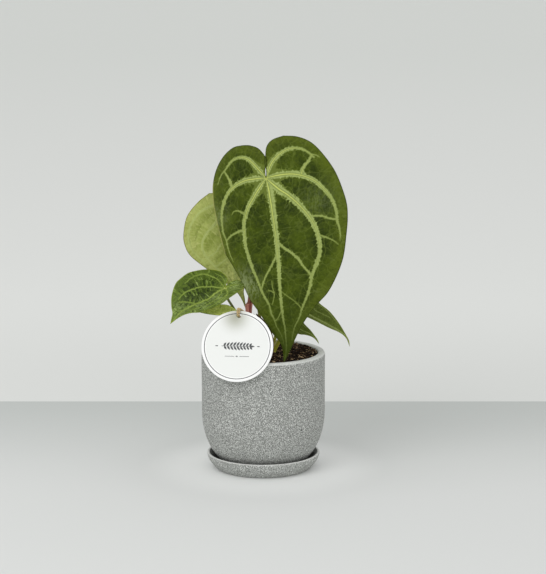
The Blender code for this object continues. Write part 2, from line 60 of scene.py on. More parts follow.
# Pot and saucer, as the frame has them.
POT_RADIUS = 62.5
POT_TOP = 120.0
POT_WALL = 7.1
POT_BASE = 5.0
POT_BASE_RADIUS = 31.0
POT_CORNER_TOP = 59.4
POT_FLOOR = 7.0
FLOOR_INSET = 4.0              # of the flat floor's edge inside, from the edge of the base outside
CORNER_RISE = 2.6              # of the inner corner's top over the outer one's
DRAIN_RADIUS = 6.0
RIM_OUTER_ROUND = 2.5
RIM_INNER_ROUND = 1.8
SAUCER_RADIUS = 57.5
SAUCER_HEIGHT = 16.0
SAUCER_FOOT_RADIUS = 47.0
SAUCER_FOOT_ROUND = 2.5
SAUCER_LIP = 3.0
SAUCER_LIP_ROUND = 1.1
SAUCER_FLOOR = 4.7
SAUCER_WELL_RADIUS = 45.0
SAUCER_COVE = (3.5, 2.2)       # width and height of the hollow between its floor and its wall
SAUCER_WALL = ((51.4, 3.7), (55.6, 9.0))   # points on its side, which is slimmer here than the frame's
CLAY_SIDES = 200
POT_PLAIN_RIM = (2.6, 1.2)     # depths below the top over which the glaze turns plain and pale
# the same for the saucer, whose pale band is a painted highlight along its lip
SAUCER_RIM_HIGHLIGHT = (0.9, 0.2)
SAUCER_PAINTED_SHADE = (47.5, 0.52)    # how far out the painted shade inside it reaches at the foot, and the gain with height
SHADE_FADE = 2.0

# Potting mix and crown.
SOIL_TOP = 117.2
SOIL_RADIUS = 55.0
SOIL_DEPTH = 30.0              # of the body that the chips lie on
SOIL_HEAP = 2.0                # of the loose top over the solid mix
SOIL_LUMPS = (9.0, 1.1)        # size and height
SOIL_CRUMBS = (1.8, 0.5)
BED_DROP = 1.3                 # of the bed below the level that the chips lie at
CHIP_COUNT = 4400
CHIP_SIDES = 5
CHIP_LENGTH = (4.0, 0.7)       # shape and scale of the spread of lengths
CHIP_HALF_WIDTH = (0.18, 0.42)   # least and most, for each unit of length
CHIP_WIDEST = 1.5
CHIP_FLATNESS = (0.35, 0.8)    # least and most thickness, for each unit of width
CHIP_TILT = 0.34
PALE_CHIPS = 0.11              # share of all
FIBRE_COUNT = 420
FIBRE_LENGTH = (4, 11)
FIBRE_RADIUS = (0.18, 0.35)
PALE_FIBRES = 0.5
CHIP_SEED = 7
CROWN_HALF_LENGTH = 18.0
CROWN_HALF_WIDTH = 12.0
CROWN_TOP = 118.5
CROWN_DEPTH = 6.0              # of its foot in the soil
CROWN_CORE = 0.86              # its size without the lumps on it
CROWN_SCARS = (2.5, 0.05)      # steps up its side, and their depth for each unit of size
CROWN_LUMPS = (5.0, 1.1)       # size and height
CROWN_SIDES = 96
CROWN_RINGS = 30

# Tag and twine.
TAG_RADIUS = 35.6
TAG_THICKNESS = 1.2
TAG_LEAN = 22.0
TAG_TURN = 6.0
TAG_CENTRE = (-25.4, 136.2)
TAG_HOLE_RADIUS = 2.5
TAG_HOLE = (0.4, 31.0)
TAG_GAP = 0.3
CARD_SHADOW_MIDDLE = (-3.0, 29.0, 0.0)   # middle of the painted shadow of the leaves below the twine, across and up
PRINT_LIFT = 0.04
PRINT_RING = (32.3, 0.75)      # radius and width of line
SPRIG_STEM = ((-15.5, 0.0), (13.0, 0.0), 0.55)   # a bar's two ends and its width
SPRIG_PAIRS = 9
SPRIG_FIRST = -13.5
SPRIG_STEP = 3.2
LEAFLET_WIDTH = 2.0
LEAFLET_TURN = 52
DASHES = (((-21.6, 0.0), (-19.2, 0.0), 0.9), ((19.8, 0.0), (22.2, 0.0), 0.9))
RULE_BARS = (((-2.6, -10.2), (-12.0, -10.2), 0.5), ((2.6, -10.2), (12.0, -10.2), 0.5))
TWINE_RADIUS = 0.9
PLY_SIDES = 9
PLY_RADIUS = 0.6
PLY_WIND = 0.42                # distance of each ply's middle from the twine's

# Stalks, red sheath and brown bract.
STALK_START = 118.8
STALK_ROOT = 1.5               # length in the crown
STALK_STRAIGHT = 4.0           # length of the straight bit at both ends
STALK_END_GAP = 0.45
STALK_SIDES = 18
STALK_RINGS = 110
STALK_SWELLINGS = ((0.22, 5.0, 4.0), (0.5, 0.0, 1.2))   # share added, distance from the blade, reach
STALK_FOOT_SWELLING = (0.4, 12.0)                       # share added, reach
SHEATH_FOOT = (-14.7, 0.0)
SHEATH_RADIUS = 3.7
SHEATH_BORE = 2.75
SHEATH_TOP = 170.0
SHEATH_ROOT = 2.0              # length in the crown
SHEATH_SLANT = 2.6             # rise of its mouth towards the right
SHEATH_LIP = 0.35              # flare of its mouth
SHEATH_WAIST = 0.3             # how much slimmer it is half-way up
SHEATH_SKIN = 2.4              # radius that its streaks are drawn for
SHEATH_RINGS = 46
SHEATH_SIDES = 40
BRACT_ROUTE = ((7.5, -6.5, STALK_START), (7.5, -9, 129), (4.5, -12, 144), (-1.5, -13.5, 154),
               (-7, -14, 161))
BRACT_HALF_WIDTHS = (2.6, 3.4, 3.6, 2.6, 0.5)
BRACT_HALF_THICKNESS = 0.16
BRACT_LENGTH = 44.0
BRACT_RAGGED = 0.12            # unevenness of its width
BRACT_CRIMP = 0.25             # height of its wrinkles
BRACT_ROWS = 60
BRACT_COLUMNS = 17
BRACT_CURL = 0.405             # how far its sides curl back, for each unit of half-width

# Blades.
RIB_BLEND = 4.0                # distance from the midrib over which one half's slope turns into the other's
WAVE_REACH = 60.0              # distance from the midrib at which a wave has its full height
WAVE_LIMIT = 1.2
QUILT_REACH = 7.0              # distance from a vein at which the blade swells
RIM_BULGE = 0.28               # of the rounded margin, for each unit of thickness
EDGE_THICKNESS = 0.55          # at the margin, for each unit of thickness further in
EDGE_REACH = 4.0               # from the margin to the full thickness
SWELL_REACH = 6.0              # from the margin to the full swelling
RIDGE_REACH = 3.0              # from the margin to the full height of the veins below
LAP_DOWN = (-8.0, -12.0)       # where the lap of the left lobe starts and is full, down the chart
LAP_ACROSS = (-9.0, -1.0)      # the same, across it
MEETING_WIDTH = 0.35           # of a band where the veins meet, for each unit of its width further out
VEIN_STEP = 40                 # along the noise, from one vein's pattern to the next one's
SIDE_STEP = 17                 # the same, from one side of a vein to the other
TEETH_SIZE = (0.25, 0.5)       # of a band's ragged edge: least, and gain with the band's half-width
LINE_WIDTH = (0.06, 0.2)       # the same, of a vein's own fine line
RIDGE_WIDTH = (0.15, 0.38)     # the same, of the ridge that a vein makes below
RIDGE_HEIGHT = (0.1, 0.26)
GROOVE_WIDTH = 0.9             # of the groove that a vein makes above, for each unit of half-width
GROOVE_DEPTH = 0.16
MERGE_FINENESS = 2000          # steps to a millimetre to which spots that are joined agree
FINE = 12                      # mesh rows on a blade's upper face for each row of the leaf's own grid
LINE_LAYERS = 3
FAR = 99.0                     # stands for no vein near
TINY = 1e-6                    # stands for no width where a band ends
CREAM = (222, 220, 132)

# Floor and light.
FLOOR_REACH = 14000.0
FLOOR_BACK_EDGE = (278.8, 280.2)   # where the floor's tone changes behind the pot
SKY_STRENGTH = 0.84
LIGHT_AIM = (0.0, 0.0, 140.0)
LAMPS = {                      # place, width and watts
    "key": ((-900, -1300, 1500), 1400, 11),
    "fill": ((500, -2200, 600), 1500, 7),
}


def linear(colour):
    """A screen colour, 0 to 255, as the linear colour that a shader takes."""
    channels = np.array(colour) / 255
    curve = np.where(channels > 0.04045, ((channels + 0.055) / 1.055) ** 2.4, channels / 12.92)
    return tuple(float(channel) for channel in curve)


@dataclass
class Vein:
    """A vein on a blade's flat chart, with the half-width of its pale band at both ends."""
    points: tuple
    wide: tuple
    layer: int                 # neighbours are in different layers, so that their lines stay apart
    lean: float = 0.0          # how far to the right of the line the band's middle starts


@dataclass
class Leaf:
    """A heart-shaped blade, drawn flat and then bent and set on the plant.

    The flat chart looks down on the upper face with the tip pointing down. Its points are
    (across to the right, down from where the stalk meets the blade).
    """
    base: tuple                # where the stalk meets the blade
    tip: tuple
    facing: tuple              # compass turn to the right of -Y, and rise, of the upper face
    fold: tuple                # slope of the left and right halves as they leave the midrib
    crease: float              # how round the fold is
    arch: float                # bow of the midrib over the straight line from base to tip
    droop: float               # extra curl, growing with the square of the distance
    midrib: tuple
    left_sinus: tuple          # from the stalk up to the crest of the lobe
    left_margin: tuple         # from the crest round to the tip
    right_sinus: tuple
    right_margin: tuple
    veins: tuple
    rib_width: tuple           # half-width of the midrib's pale band at its base and tip
    waves: tuple = (0.0, 80.0, 0.0, 0.0)   # height, length, phase on the left and on the right
    thickness: float = 0.6
    grid: tuple = (4, 14, 5)   # rows along the lobe and along the midrib, and columns
    quilt: float = 0.5         # how far the blade swells between its veins
    ripple: tuple = (0.15, 9.0)            # height and size of the smaller unevenness
    halo: float = 10.0         # reach of the pale patch where the veins meet
    lap: float = 0.0           # how far the left lobe lies over the right one
    rib_lean: float = 0.0      # how far to the right the midrib's pale band starts
    pale_and_sheen_spots: tuple = ()     # (across, down, reach, strength) of paler, greyer places: own tone, and painted sheen and light
    tip_start: float = 0.9     # share of the length at which the tip's own tone sets in
    pale_edge: tuple = ()      # the stretch down the left margin that has a cream-coloured edge
    upper: str = "blade_upper_shady"       # the looks of its two faces
    lower: str = "blade_lower"
    slot: str = "blade_green"


LEAVES = {
    "leaf_main": Leaf(
        base=(2.9, -10.0, 297.6), tip=(21.1, -54.5, 121.2), facing=(-18, 0),
        fold=(-0.24, -0.24), crease=8.0, arch=6.0, droop=-0.0012,
        midrib=((0, 0), (2.5, 16), (5, 46), (6.3, 70), (5.4, 100), (4.6, 118), (4.4, 135), (5.2, 152),
                (4.4, 168), (2.2, 177), (-1, 184.3)),
        left_sinus=((0, 0), (-0.5, -4.5), (-0.3, -9), (1, -12.5), (1.6, -17), (0.6, -22), (-6.5, -31),
                    (-16.5, -36), (-26, -37.7)),
        left_margin=((-26, -37.7), (-37, -37.2), (-49.5, -30.5), (-59, -19), (-63.5, -5), (-64.3, 12),
                     (-63, 33), (-60.5, 50), (-56, 67), (-49.4, 78), (-44, 87.5), (-38, 99.5), (-30.7, 118),
                     (-22, 131.4), (-14.5, 145), (-7.3, 157), (-2.6, 163), (-0.4, 170), (-0.4, 177),
                     (-1, 184.3)),
        right_sinus=((0, 0), (0.5, -4.5), (0.3, -9), (0, -13), (-0.2, -17), (0.3, -21.5), (2, -31.5),
                     (8, -38), (19, -41)),
        right_margin=((19, -41), (32.5, -38.5), (45.5, -31), (57.5, -16), (67, 1.5), (72.5, 21.5),
                      (75, 40), (73.5, 63), (67.3, 89), (52, 117), (39, 130.5), (27, 143.5),
                      (17, 157.5), (9.2, 170), (4.2, 177.5), (-1, 184.3)),
        veins=(
            Vein(((0, 0), (-12.5, -15.5), (-20, -22.5), (-28, -25.5), (-36, -25), (-42, -22), (-46, -17.5),
                  (-52, -12.5), (-55, -8), (-57.5, -2)), (2.9, 0.15), 1),
            Vein(((-49, -14.5), (-44, -6.5), (-39.5, 4)), (0.7, 1.4), 0),
            Vein(((0, 0), (-13, -1), (-23.5, -1), (-33, 1), (-41, 5), (-47.5, 11), (-52.5, 20),
                  (-55.5, 28.5), (-56.5, 40), (-56, 48), (-53, 55.5)), (3.1, 0.7), 2),
            Vein(((-53, 55.5), (-51.8, 62), (-49.5, 70), (-46, 78)), (0.7, 0.1), 2),
            Vein(((-30, 48), (-33.5, 48), (-45, 51), (-53, 55.5)), (1.0, 0.7), 0),
            Vein(((0, 0), (-9, 10), (-16, 18), (-22, 25.5), (-26.5, 34), (-29.5, 42), (-30, 55), (-29.5, 65),
                  (-26, 79.5), (-20.5, 96), (-17, 107), (-13.6, 116), (-8.9, 126.2), (-7.8, 133.7),
                  (-5.2, 140.7), (-3.5, 148.1), (-0.8, 153.3), (1.6, 160.9), (2, 168)), (3.0, -0.1), 1),
            Vein(((-27, 32), (-35.5, 28), (-40, 28), (-43, 31)), (0.9, 0.1), 0),
            Vein(((5.5, 78), (-3, 89.5), (-10, 98.5), (-15.5, 109)), (0.9, 0.7), 2),
            Vein(((0, 0), (1.5, -2.5), (4, -10), (8.5, -17), (15.5, -23), (23, -26.5), (31, -27), (38.5, -24),
                  (43.5, -20), (47.5, -15.5)), (2.7, 0.6), 1),
            Vein(((44.5, -19), (49.5, -17.5), (53, -15)), (0.7, 0.1), 0),
            Vein(((45, -18), (42, -12), (37.5, -7), (34, 1)), (0.9, 1.9), 0),
            Vein(((0, 0), (14.5, -1.5), (26, -1), (36, 2), (46, 7.5), (53.5, 15.5), (60, 25), (63.5, 34),
                  (65, 42.5), (65.5, 50.5), (67, 58)), (3.4, 0.7), 2),
            Vein(((67, 58), (67.5, 64), (67, 71)), (0.6, 0.1), 2),
            Vein(((0, 0), (11.5, 12), (20.5, 19.5), (28.5, 28), (35, 36.5), (39.5, 43.5), (43.5, 51.5),
                  (46, 60.5), (47.5, 72), (46, 83), (40.5, 94.5), (36.6, 103)), (3.6, 1.2), 1),
            Vein(((36.6, 103), (35, 109), (32, 118), (24, 133.5), (20.5, 142), (15.5, 149.6), (12.9, 156.1),
                  (10.6, 163)), (1.3, 0.0), 1),
            Vein(((39.5, 43), (51, 44), (57.5, 47), (65, 49)), (0.8, 0.8), 0),
            Vein(((47, 62.5), (53.5, 65.5), (60.5, 69.5), (65, 74)), (0.7, 0.2), 0),
            Vein(((5.8, 64), (13.5, 72), (20.5, 78), (26, 84.5), (30, 92), (37, 102)), (1.1, 0.8), 2),
            Vein(((5, 113), (8.6, 116.8), (13, 120.8), (18.4, 125.7), (24, 133.5)), (0.1, 0.15), 2),
            Vein(((4.6, 131.5), (2.4, 135.5), (-0.9, 140), (-4.5, 142.5)), (0.3, 0.3), 2),
            Vein(((-2.9, 102.8), (-2.7, 108.8), (-1.8, 115.6), (-3.4, 121.6), (-5.2, 125.4)), (0.15, 0.2), 0),
            Vein(((-7.6, 111.5), (-4.1, 113), (-2, 115)), (0.1, 0.2), 2),
        ),
        rib_width=(3.7, -0.15), waves=(1.6, 78.0, 0.6, 2.0), thickness=0.7, grid=(7, 22, 8), halo=16.0,
        quilt=0.8, ripple=(0.45, 14.0), lap=0.9, rib_lean=1.8, pale_edge=(-4, 66), tip_start=0.6,
        # the first pale spot is a painted sheen on the blade's lower left
        pale_and_sheen_spots=((-34, 104, 15, 0.9), (-60, 30, 12, 0.4), (50, 28, 16, 0.2)),
        upper="blade_upper_main"),
    "leaf_back": Leaf(
        base=(-41.4, 48.0, 260.4), tip=(-17.9, 30.0, 156.4), facing=(174, 0),
        fold=(-0.12, -0.12), crease=6.0, arch=-2.0, droop=-0.001,
        midrib=((0, 0), (1, 30), (2, 60), (2.5, 85), (0, 108)),
        left_sinus=((0, 0), (-0.6, -4), (-1.2, -9), (-6, -16), (-13, -18)),
        left_margin=((-13, -18), (-24, -15), (-34, -6), (-41, 8), (-42, 25), (-37, 45), (-27, 61),
                     (-13, 75), (-3, 87), (-1.5, 97), (0, 108)),
        right_sinus=((0, 0), (0.6, -4), (1, -9), (4, -15), (11, -17)),
        right_margin=((11, -17), (24, -10.5), (37.5, 1), (44.5, 17), (46, 29), (42.5, 42), (30, 58),
                      (17, 73), (7, 85), (2, 96), (0, 108)),
        veins=(
            Vein(((0, 0), (9, -4), (18.5, -2), (25, 0.7), (31, 5.5), (35.5, 10.5), (39, 17), (41, 25),
                  (39, 38), (30, 52)), (1.1, 0.3), 2),
            Vein(((0, 0), (10, 13.5), (18, 19.5), (23, 24), (27, 29), (29, 34), (29, 40), (26.5, 48),
                  (18, 62), (9, 76)), (1.3, 0.4), 1),
            Vein(((2.5, 32), (12, 38.5), (16.5, 43.5), (26, 47)), (0.5, 0.4), 0),
            Vein(((2.5, 50), (12.5, 55), (19, 58)), (0.5, 0.4), 0),
            Vein(((0, 0), (-9, -5), (-20, -2), (-29, 5), (-35, 14), (-36, 26), (-31, 42)), (1.2, 0.3), 2),
            Vein(((0, 0), (-10, 12), (-19, 21), (-24, 32), (-23, 45), (-15, 60), (-6, 76)), (1.3, 0.4), 1),
            Vein(((1.5, 30), (-10, 40), (-23, 45)), (0.5, 0.4), 2),
        ),
        rib_width=(2.2, 0.4), waves=(0.8, 60.0, 0.0, 1.5), thickness=0.5, grid=(4, 16, 6), halo=5.0,
        quilt=0.9, ripple=(0.2, 5.0), pale_and_sheen_spots=((3, 78, 15, 1.0),),
        upper="blade_upper_main", lower="blade_lower_pale", slot="blade_pale"),
    "leaf_left": Leaf(
        base=(-38.1, 0.0, 184.5), tip=(-92.5, -30.0, 153.8), facing=(-20, 50),
        fold=(0.3, 0.3), crease=5.0, arch=3.0, droop=0.001,
        midrib=((0, 0), (0, 12), (2, 21), (1, 29), (-3.6, 48.7), (-3.5, 54), (0, 69.3)),
        left_sinus=((0, 0), (-3.3, -3), (-8.5, -9), (-14, -10.6)),
        left_margin=((-14, -10.6), (-21.2, -8.2), (-28.4, 1.7), (-33.3, 17.5), (-32.8, 30.7),
                     (-31, 38.6), (-24, 48.8), (-15.4, 56), (-8.5, 60), (-4.6, 64.3), (0, 69.3)),
        right_sinus=((0, 0), (-3, -3), (-5, -9.5), (-4, -17), (0.5, -20.5)),
        right_margin=((0.5, -20.5), (7, -19), (12.5, -13), (17, -2), (20.4, 13), (21.2, 20),
                      (20.5, 28.7), (15, 41), (8.3, 46.2), (3.1, 52.2), (0.5, 60), (0, 69.3)),
        veins=(
            Vein(((0, 0), (-3.5, 0), (-12, -0.5), (-17.5, 1.5), (-22, 4.5), (-25, 8), (-26.7, 12.5),
                  (-27.2, 20), (-26, 30)), (0.6, 0.15), 2),
            Vein(((0, 0), (-4.5, 5.3), (-8, 9), (-12, 15.3), (-14.5, 21), (-16, 27), (-18, 36), (-18, 40.5),
                  (-16.5, 46)), (0.7, 0.25), 1),
            Vein(((-1.5, 36), (-6, 39), (-10, 42.5), (-14, 47.5)), (0.4, 0.2), 2),
            Vein(((0, 0), (-0.2, -6), (1, -11.5), (5.3, -15.8)), (0.7, 0.3), 1),
            Vein(((0, 0), (3.3, 1), (8.5, 3), (12.5, 7.5), (14.5, 15.3), (15.2, 22), (15.5, 28), (13, 37)),
                 (0.7, 0.15), 2),
            Vein(((0, 4), (4, 8), (8, 15), (9.5, 24), (8, 34), (2, 46)), (0.45, 0.1), 1),
            Vein(((0, 0), (-7, -4.5), (-14, -6), (-20, -3)), (0.4, 0.1), 1),
        ),
        rib_width=(1.1, 0.45), waves=(0.5, 30.0, 0.0, 1.0), thickness=0.5, grid=(4, 14, 6), halo=3.5,
        quilt=0.8, ripple=(0.3, 5.0), upper="blade_upper_young",
        pale_and_sheen_spots=((2, -11, 10, 1.0), (11, 15, 9, 0.6), (6, 33, 9, 0.5), (-6, 54, 12, 0.4))),
    "leaf_low_left": Leaf(
        base=(-27.4, -8.0, 160.7), tip=(-67.3, -16.0, 163.8), facing=(-10, 65),
        fold=(0.2, 0.2), crease=3.0, arch=3.0, droop=0.0,
        midrib=((0, 0), (1, 14), (1.5, 28), (0.5, 36), (0, 40.8)),
        left_sinus=((0, 0), (-0.6, -1.5), (-2.5, -2.8), (-4, -2.5)),
        left_margin=((-4, -2.5), (-7.5, 3), (-8.9, 9), (-8, 15.5), (-6, 23), (-3, 32), (0, 40.8)),
        right_sinus=((0, 0), (0.6, -1.5), (2.6, -3), (4.2, -2.8)),
        right_margin=((4.2, -2.8), (8, 1), (11, 10), (12.2, 20), (11, 25.5), (7.5, 32.3), (0, 40.8)),
        veins=(
            Vein(((0, 0), (-4, 3), (-6, 10), (-5, 18)), (0.6, 0.25), 1),
            Vein(((0, 0), (5, 3), (8.5, 11), (8.5, 20)), (0.6, 0.25), 2),
            Vein(((1, 12), (4.5, 17), (6, 25)), (0.5, 0.25), 1),
        ),
        rib_width=(0.7, 0.3), thickness=0.5, grid=(3, 10, 4), halo=2.0, quilt=0.6, ripple=(0.3, 4.5),
        pale_and_sheen_spots=((8, 14, 7, 0.8), (-4, 26, 8, 0.8)), upper="blade_upper_lit"),
    "leaf_right_upper": Leaf(
        base=(24.0, 12.0, 171.3), tip=(87.4, 0.0, 124.3), facing=(10, 55),
        fold=(0.45, 0.25), crease=4.0, arch=6.0, droop=0.0,
        midrib=((0, 0), (-2.5, 15), (-3.2, 28), (-0.5, 42), (2.5, 53), (5.8, 66), (5.3, 72), (0, 79.8)),
        left_sinus=((0, 0), (-1, -3), (-5, -7), (-8, -7.5)),
        left_margin=((-8, -7.5), (-13, -3), (-15, 6), (-13, 18), (-8.3, 29), (-3.8, 46), (-1.3, 53),
                     (2.2, 60), (4.4, 66.5), (4.1, 73), (0, 79.8)),
        right_sinus=((0, 0), (1, -3), (4.5, -7.5), (8, -8.5)),
        right_margin=((8, -8.5), (13.5, -5), (17, 4), (16.5, 16), (14, 30), (13.8, 42), (10.8, 58),
                      (6.5, 72), (3.9, 76.6), (0, 79.8)),
        veins=(
            Vein(((0, 0), (6, 2), (9, 10), (8, 20), (5, 29), (6.2, 37.5), (8.8, 46)), (0.45, 0.1), 1),
            Vein(((0, 0), (-7, 2), (-10, 9), (-9, 19), (-6.5, 28)), (0.45, 0.1), 2),
            Vein(((0, 0), (7, -3), (12, 2), (13, 12), (12.4, 24), (12.6, 38), (9.8, 56)), (0.45, 0.15), 2),
            Vein(((-4.6, 26), (-2, 42), (1, 53), (4, 62)), (0.3, 0.2), 1),
        ),
        rib_width=(0.7, 0.4), thickness=0.5, grid=(3, 14, 4), halo=3.0, quilt=0.5, ripple=(0.25, 5.0)),
    "leaf_right_lower": Leaf(
        base=(15.9, 12.0, 151.6), tip=(56.4, 0.0, 127.1), facing=(10, 55),
        fold=(0.4, 0.25), crease=3.0, arch=4.0, droop=0.0,
        midrib=((0, 0), (-1.5, 12), (-1.5, 22), (1, 32), (2.6, 38), (2, 43), (0, 48.8)),
        left_sinus=((0, 0), (-0.6, -2), (-3, -4.5), (-5, -5)),
        left_margin=((-5, -5), (-8.5, -2), (-11, 5), (-12, 14), (-9, 27), (-3.9, 32.3), (-0.5, 37),
                     (1.2, 41.5), (0.7, 46), (0, 48.8)),
        right_sinus=((0, 0), (0.6, -2), (3, -4.5), (5, -5)),
        right_margin=((5, -5), (9, -2), (11, 5), (10.5, 14), (7, 26), (5.7, 34.3), (2.8, 44.8), (0, 48.8)),
        veins=(
            Vein(((0, 0), (4, 2), (6.5, 9), (6, 18), (5, 29)), (0.4, 0.15), 1),
            Vein(((0, 0), (-5, 2), (-7.5, 9), (-7, 18), (-4, 27)), (0.4, 0.15), 2),
        ),
        rib_width=(0.6, 0.35), thickness=0.5, grid=(3, 11, 4), halo=2.5, quilt=0.4, ripple=(0.2, 4.5)),
}


@dataclass
class Stalk:
    """A leaf's stalk: where it leaves the crown, its radius at both ends and its route between."""
    leaf: str
    foot: tuple
    radii: tuple
    route: tuple
    look: str = "stalk_olive"


STALKS = {
    "petiole_main": Stalk("leaf_main", SHEATH_FOOT, (2.2, 1.6), (
        (-15, 0, 148), (-13.8, 1.2, 172), (-7, 8, 212), (0.5, 15.5, 250), (6.5, 19.5, 280), (9, 17, 295),
        (8, 7, 301)), "stalk_red"),
    "petiole_back": Stalk("leaf_back", (-2.0, 7.5), (1.7, 1.2), (
        (-2.6, 10.5, 140), (-7, 20, 175), (-17, 32, 215), (-31, 40, 247), (-38.5, 42, 258))),
    "petiole_left": Stalk("leaf_left", (-9.0, -7.0), (1.5, 1.2), (
        (-12, -7, 129), (-20, -4.5, 147), (-28.7, 1.5, 161.5), (-35.2, 4, 171.5), (-38.6, 3.6, 178))),
    "petiole_low_left": Stalk("leaf_low_left", (-4.0, -7.5), (1.1, 0.8), (
        (-8, -10.5, 130), (-17, -11, 143), (-25.0, -8.8, 154))),
    "petiole_right_upper": Stalk("leaf_right_upper", (10.8, 0.0), (2.1, 1.2), (
        (16, -3.5, 131), (20.5, -7.5, 142), (22, -4, 155), (22.3, 7, 163.5)), "stalk_golden"),
    "petiole_right_lower": Stalk("leaf_right_lower", (9.5, 5.5), (1.6, 1.0), (
        (11.3, 4.5, 130), (13.8, 7.5, 142)), "stalk_golden"),
}


# Curves and meshes

def smooth_curve(points, count, closed=False):
    """Even points on a smooth curve through the given ones. A closed one stops a step short of its start."""
    points = np.array(points, float)
    if closed:
        padded = np.vstack([points[-1], points, points[:2]])
    else:
        before = 2 * points[0] - points[1]
        after = 2 * points[-1] - points[-2]
        padded = np.vstack([before, points, after])
    steps = np.linspace(0, 1, 12, endpoint=False)[:, None]
    dense = []
    for a, b, c, d in zip(padded, padded[1:], padded[2:], padded[3:]):
        dense.append(0.5 * (2 * b + (c - a) * steps + (2 * a - 5 * b + 4 * c - d) * steps ** 2
                            + (3 * b - a - 3 * c + d) * steps ** 3))
    dense = np.vstack([*dense, padded[-2]])
    lengths = np.concatenate([[0], np.cumsum(np.linalg.norm(np.diff(dense, axis=0), axis=1))])
    even = np.linspace(0, lengths[-1], count, endpoint=not closed)
    return np.stack([np.interp(even, lengths, dense[:, axis]) for axis in range(points.shape[1])], axis=1)


def smoothstep(value, start, stop):
    """0 up to start, 1 from stop on, and an even S between; start may be above stop."""
    share = np.clip((value - start) / (stop - start), 0, 1)
    return share * share * (3 - 2 * share)


def path_length(points):
    return np.linalg.norm(np.diff(points, axis=0), axis=1).sum()


def bell(distance, reach):
    """1 at no distance, about a third at the reach and next to nothing at twice that."""
    return np.exp(-(distance / reach) ** 2)


def unit(vectors):
    return vectors / np.linalg.norm(vectors, axis=-1, keepdims=True)


def rumple(points, size, octaves=1.0):
    """Smooth noise at each point, mostly from -0.5 to 0.5, with bumps about that size across."""
    scaled = np.asarray(points, float) / size
    if scaled.shape[1] == 2:
        scaled = np.column_stack([scaled, np.zeros(len(scaled))])
    return np.array([noise.fractal(point, 1.0, 2.0, octaves) for point in scaled.tolist()])


def add_piece(name, points, faces, replaced, materials):
    """A mesh in the plant's axes, its faces turned outward, that stands for a node of the frame."""
    mesh = bpy.data.meshes.new(name)
    mesh.from_pydata((np.asarray(points) * MM).tolist(), [], faces)
    for material in materials:
        mesh.materials.append(material)
    shell = bmesh.new()
    shell.from_mesh(mesh)
    bmesh.ops.recalc_face_normals(shell, faces=shell.faces)
    shell.to_mesh(mesh)
    shell.free()
    mesh.shade_smooth()
    piece = bpy.data.objects.new(name, mesh)
    bpy.context.collection.objects.link(piece)
    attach(piece, "root")
    if replaced:
        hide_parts(replaced)
    return piece


def set_attribute(piece, name, values):
    values = np.asarray(values, np.float32)
    if values.ndim == 2:
        layer = piece.data.attributes.new(name, "FLOAT_VECTOR", "POINT")
        layer.data.foreach_set("vector", values.ravel())
    else:
        layer = piece.data.attributes.new(name, "FLOAT", "POINT")
        layer.data.foreach_set("value", values)


def ring_angles(sides):
    return tau * np.arange(sides) / sides


def cap_faces(centre, first, sides):
    """Triangles from a point to the ring of points that starts at first."""
    return [(centre, first + k, first + (k + 1) % sides) for k in range(sides)]


def grid_faces(rows, columns, wrap_rows=False, wrap_columns=False, first=0):
    """Quads over points stored row by row; a wrapped direction joins its end to its start."""
    faces = []
    for row in range(rows if wrap_rows else rows - 1):
        below = (row + 1) % rows
        for column in range(columns if wrap_columns else columns - 1):
            right = (column + 1) % columns
            faces.append((first + row * columns + column, first + row * columns + right,
                          first + below * columns + right, first + below * columns + column))
    return faces


def turned(profile, sides):
    """Points and faces of a closed outline of (radius, height) points turned round Z."""
    angles = ring_angles(sides)
    profile = np.array(profile, float)
    points = np.stack([np.outer(profile[:, 0], np.cos(angles)), np.outer(profile[:, 0], np.sin(angles)),
                       np.repeat(profile[:, 1:], sides, axis=1)], axis=2).reshape(-1, 3)
    return points, grid_faces(len(profile), sides, wrap_rows=True, wrap_columns=True)


def quarter(centre, half_width, half_height, start, end, steps):
    """Points on a stretch of an ellipse, angles from +radius towards +height."""
    return [(centre[0] + half_width * cos(angle), centre[1] + half_height * sin(angle))
            for angle in np.linspace(radians(start), radians(end), steps)]


def spaced(outline, spacing):
    """The closed outline with points added, so that none lies further than that from the next."""
    filled = []
    for start, end in zip(outline, [*outline[1:], outline[0]]):
        start, end = np.array(start), np.array(end)
        steps = max(1, int(np.ceil(np.linalg.norm(end - start) / spacing)))
        filled += [tuple(start + (end - start) * step / steps) for step in range(steps)]
    return filled


def travelling_frames(route):
    """Two unit vectors square to a route at each point, which turn as little as they can along it."""
    ahead = unit(np.gradient(route, axis=0))
    side = unit(np.cross(ahead[0], (0.3, 1.0, 0.1)))
    sides = []
    for direction in ahead:
        side = unit(side - direction * (side @ direction))
        sides.append(side)
    sides = np.array(sides)
    return sides, np.cross(ahead, sides)


def tube(route, radii, sides, ridge=None):
    """Points and faces of a capped tube. ridge(angle, share) scales the radius round and along it."""
    first, second = travelling_frames(route)
    angles = ring_angles(sides)
    rows = len(route)
    share = np.linspace(0, 1, rows)
    around = np.repeat(np.asarray(radii)[:, None], sides, axis=1)
    if ridge is not None:
        around = around * ridge(angles[None, :], share[:, None])
    points = (route[:, None] + first[:, None] * (around * np.cos(angles))[..., None]
              + second[:, None] * (around * np.sin(angles))[..., None]).reshape(-1, 3)
    points = np.vstack([points, route[0], route[-1]])
    faces = grid_faces(rows, sides, wrap_columns=True)
    faces += cap_faces(len(points) - 2, 0, sides) + cap_faces(len(points) - 1, (rows - 1) * sides, sides)
    return points, faces


# Materials

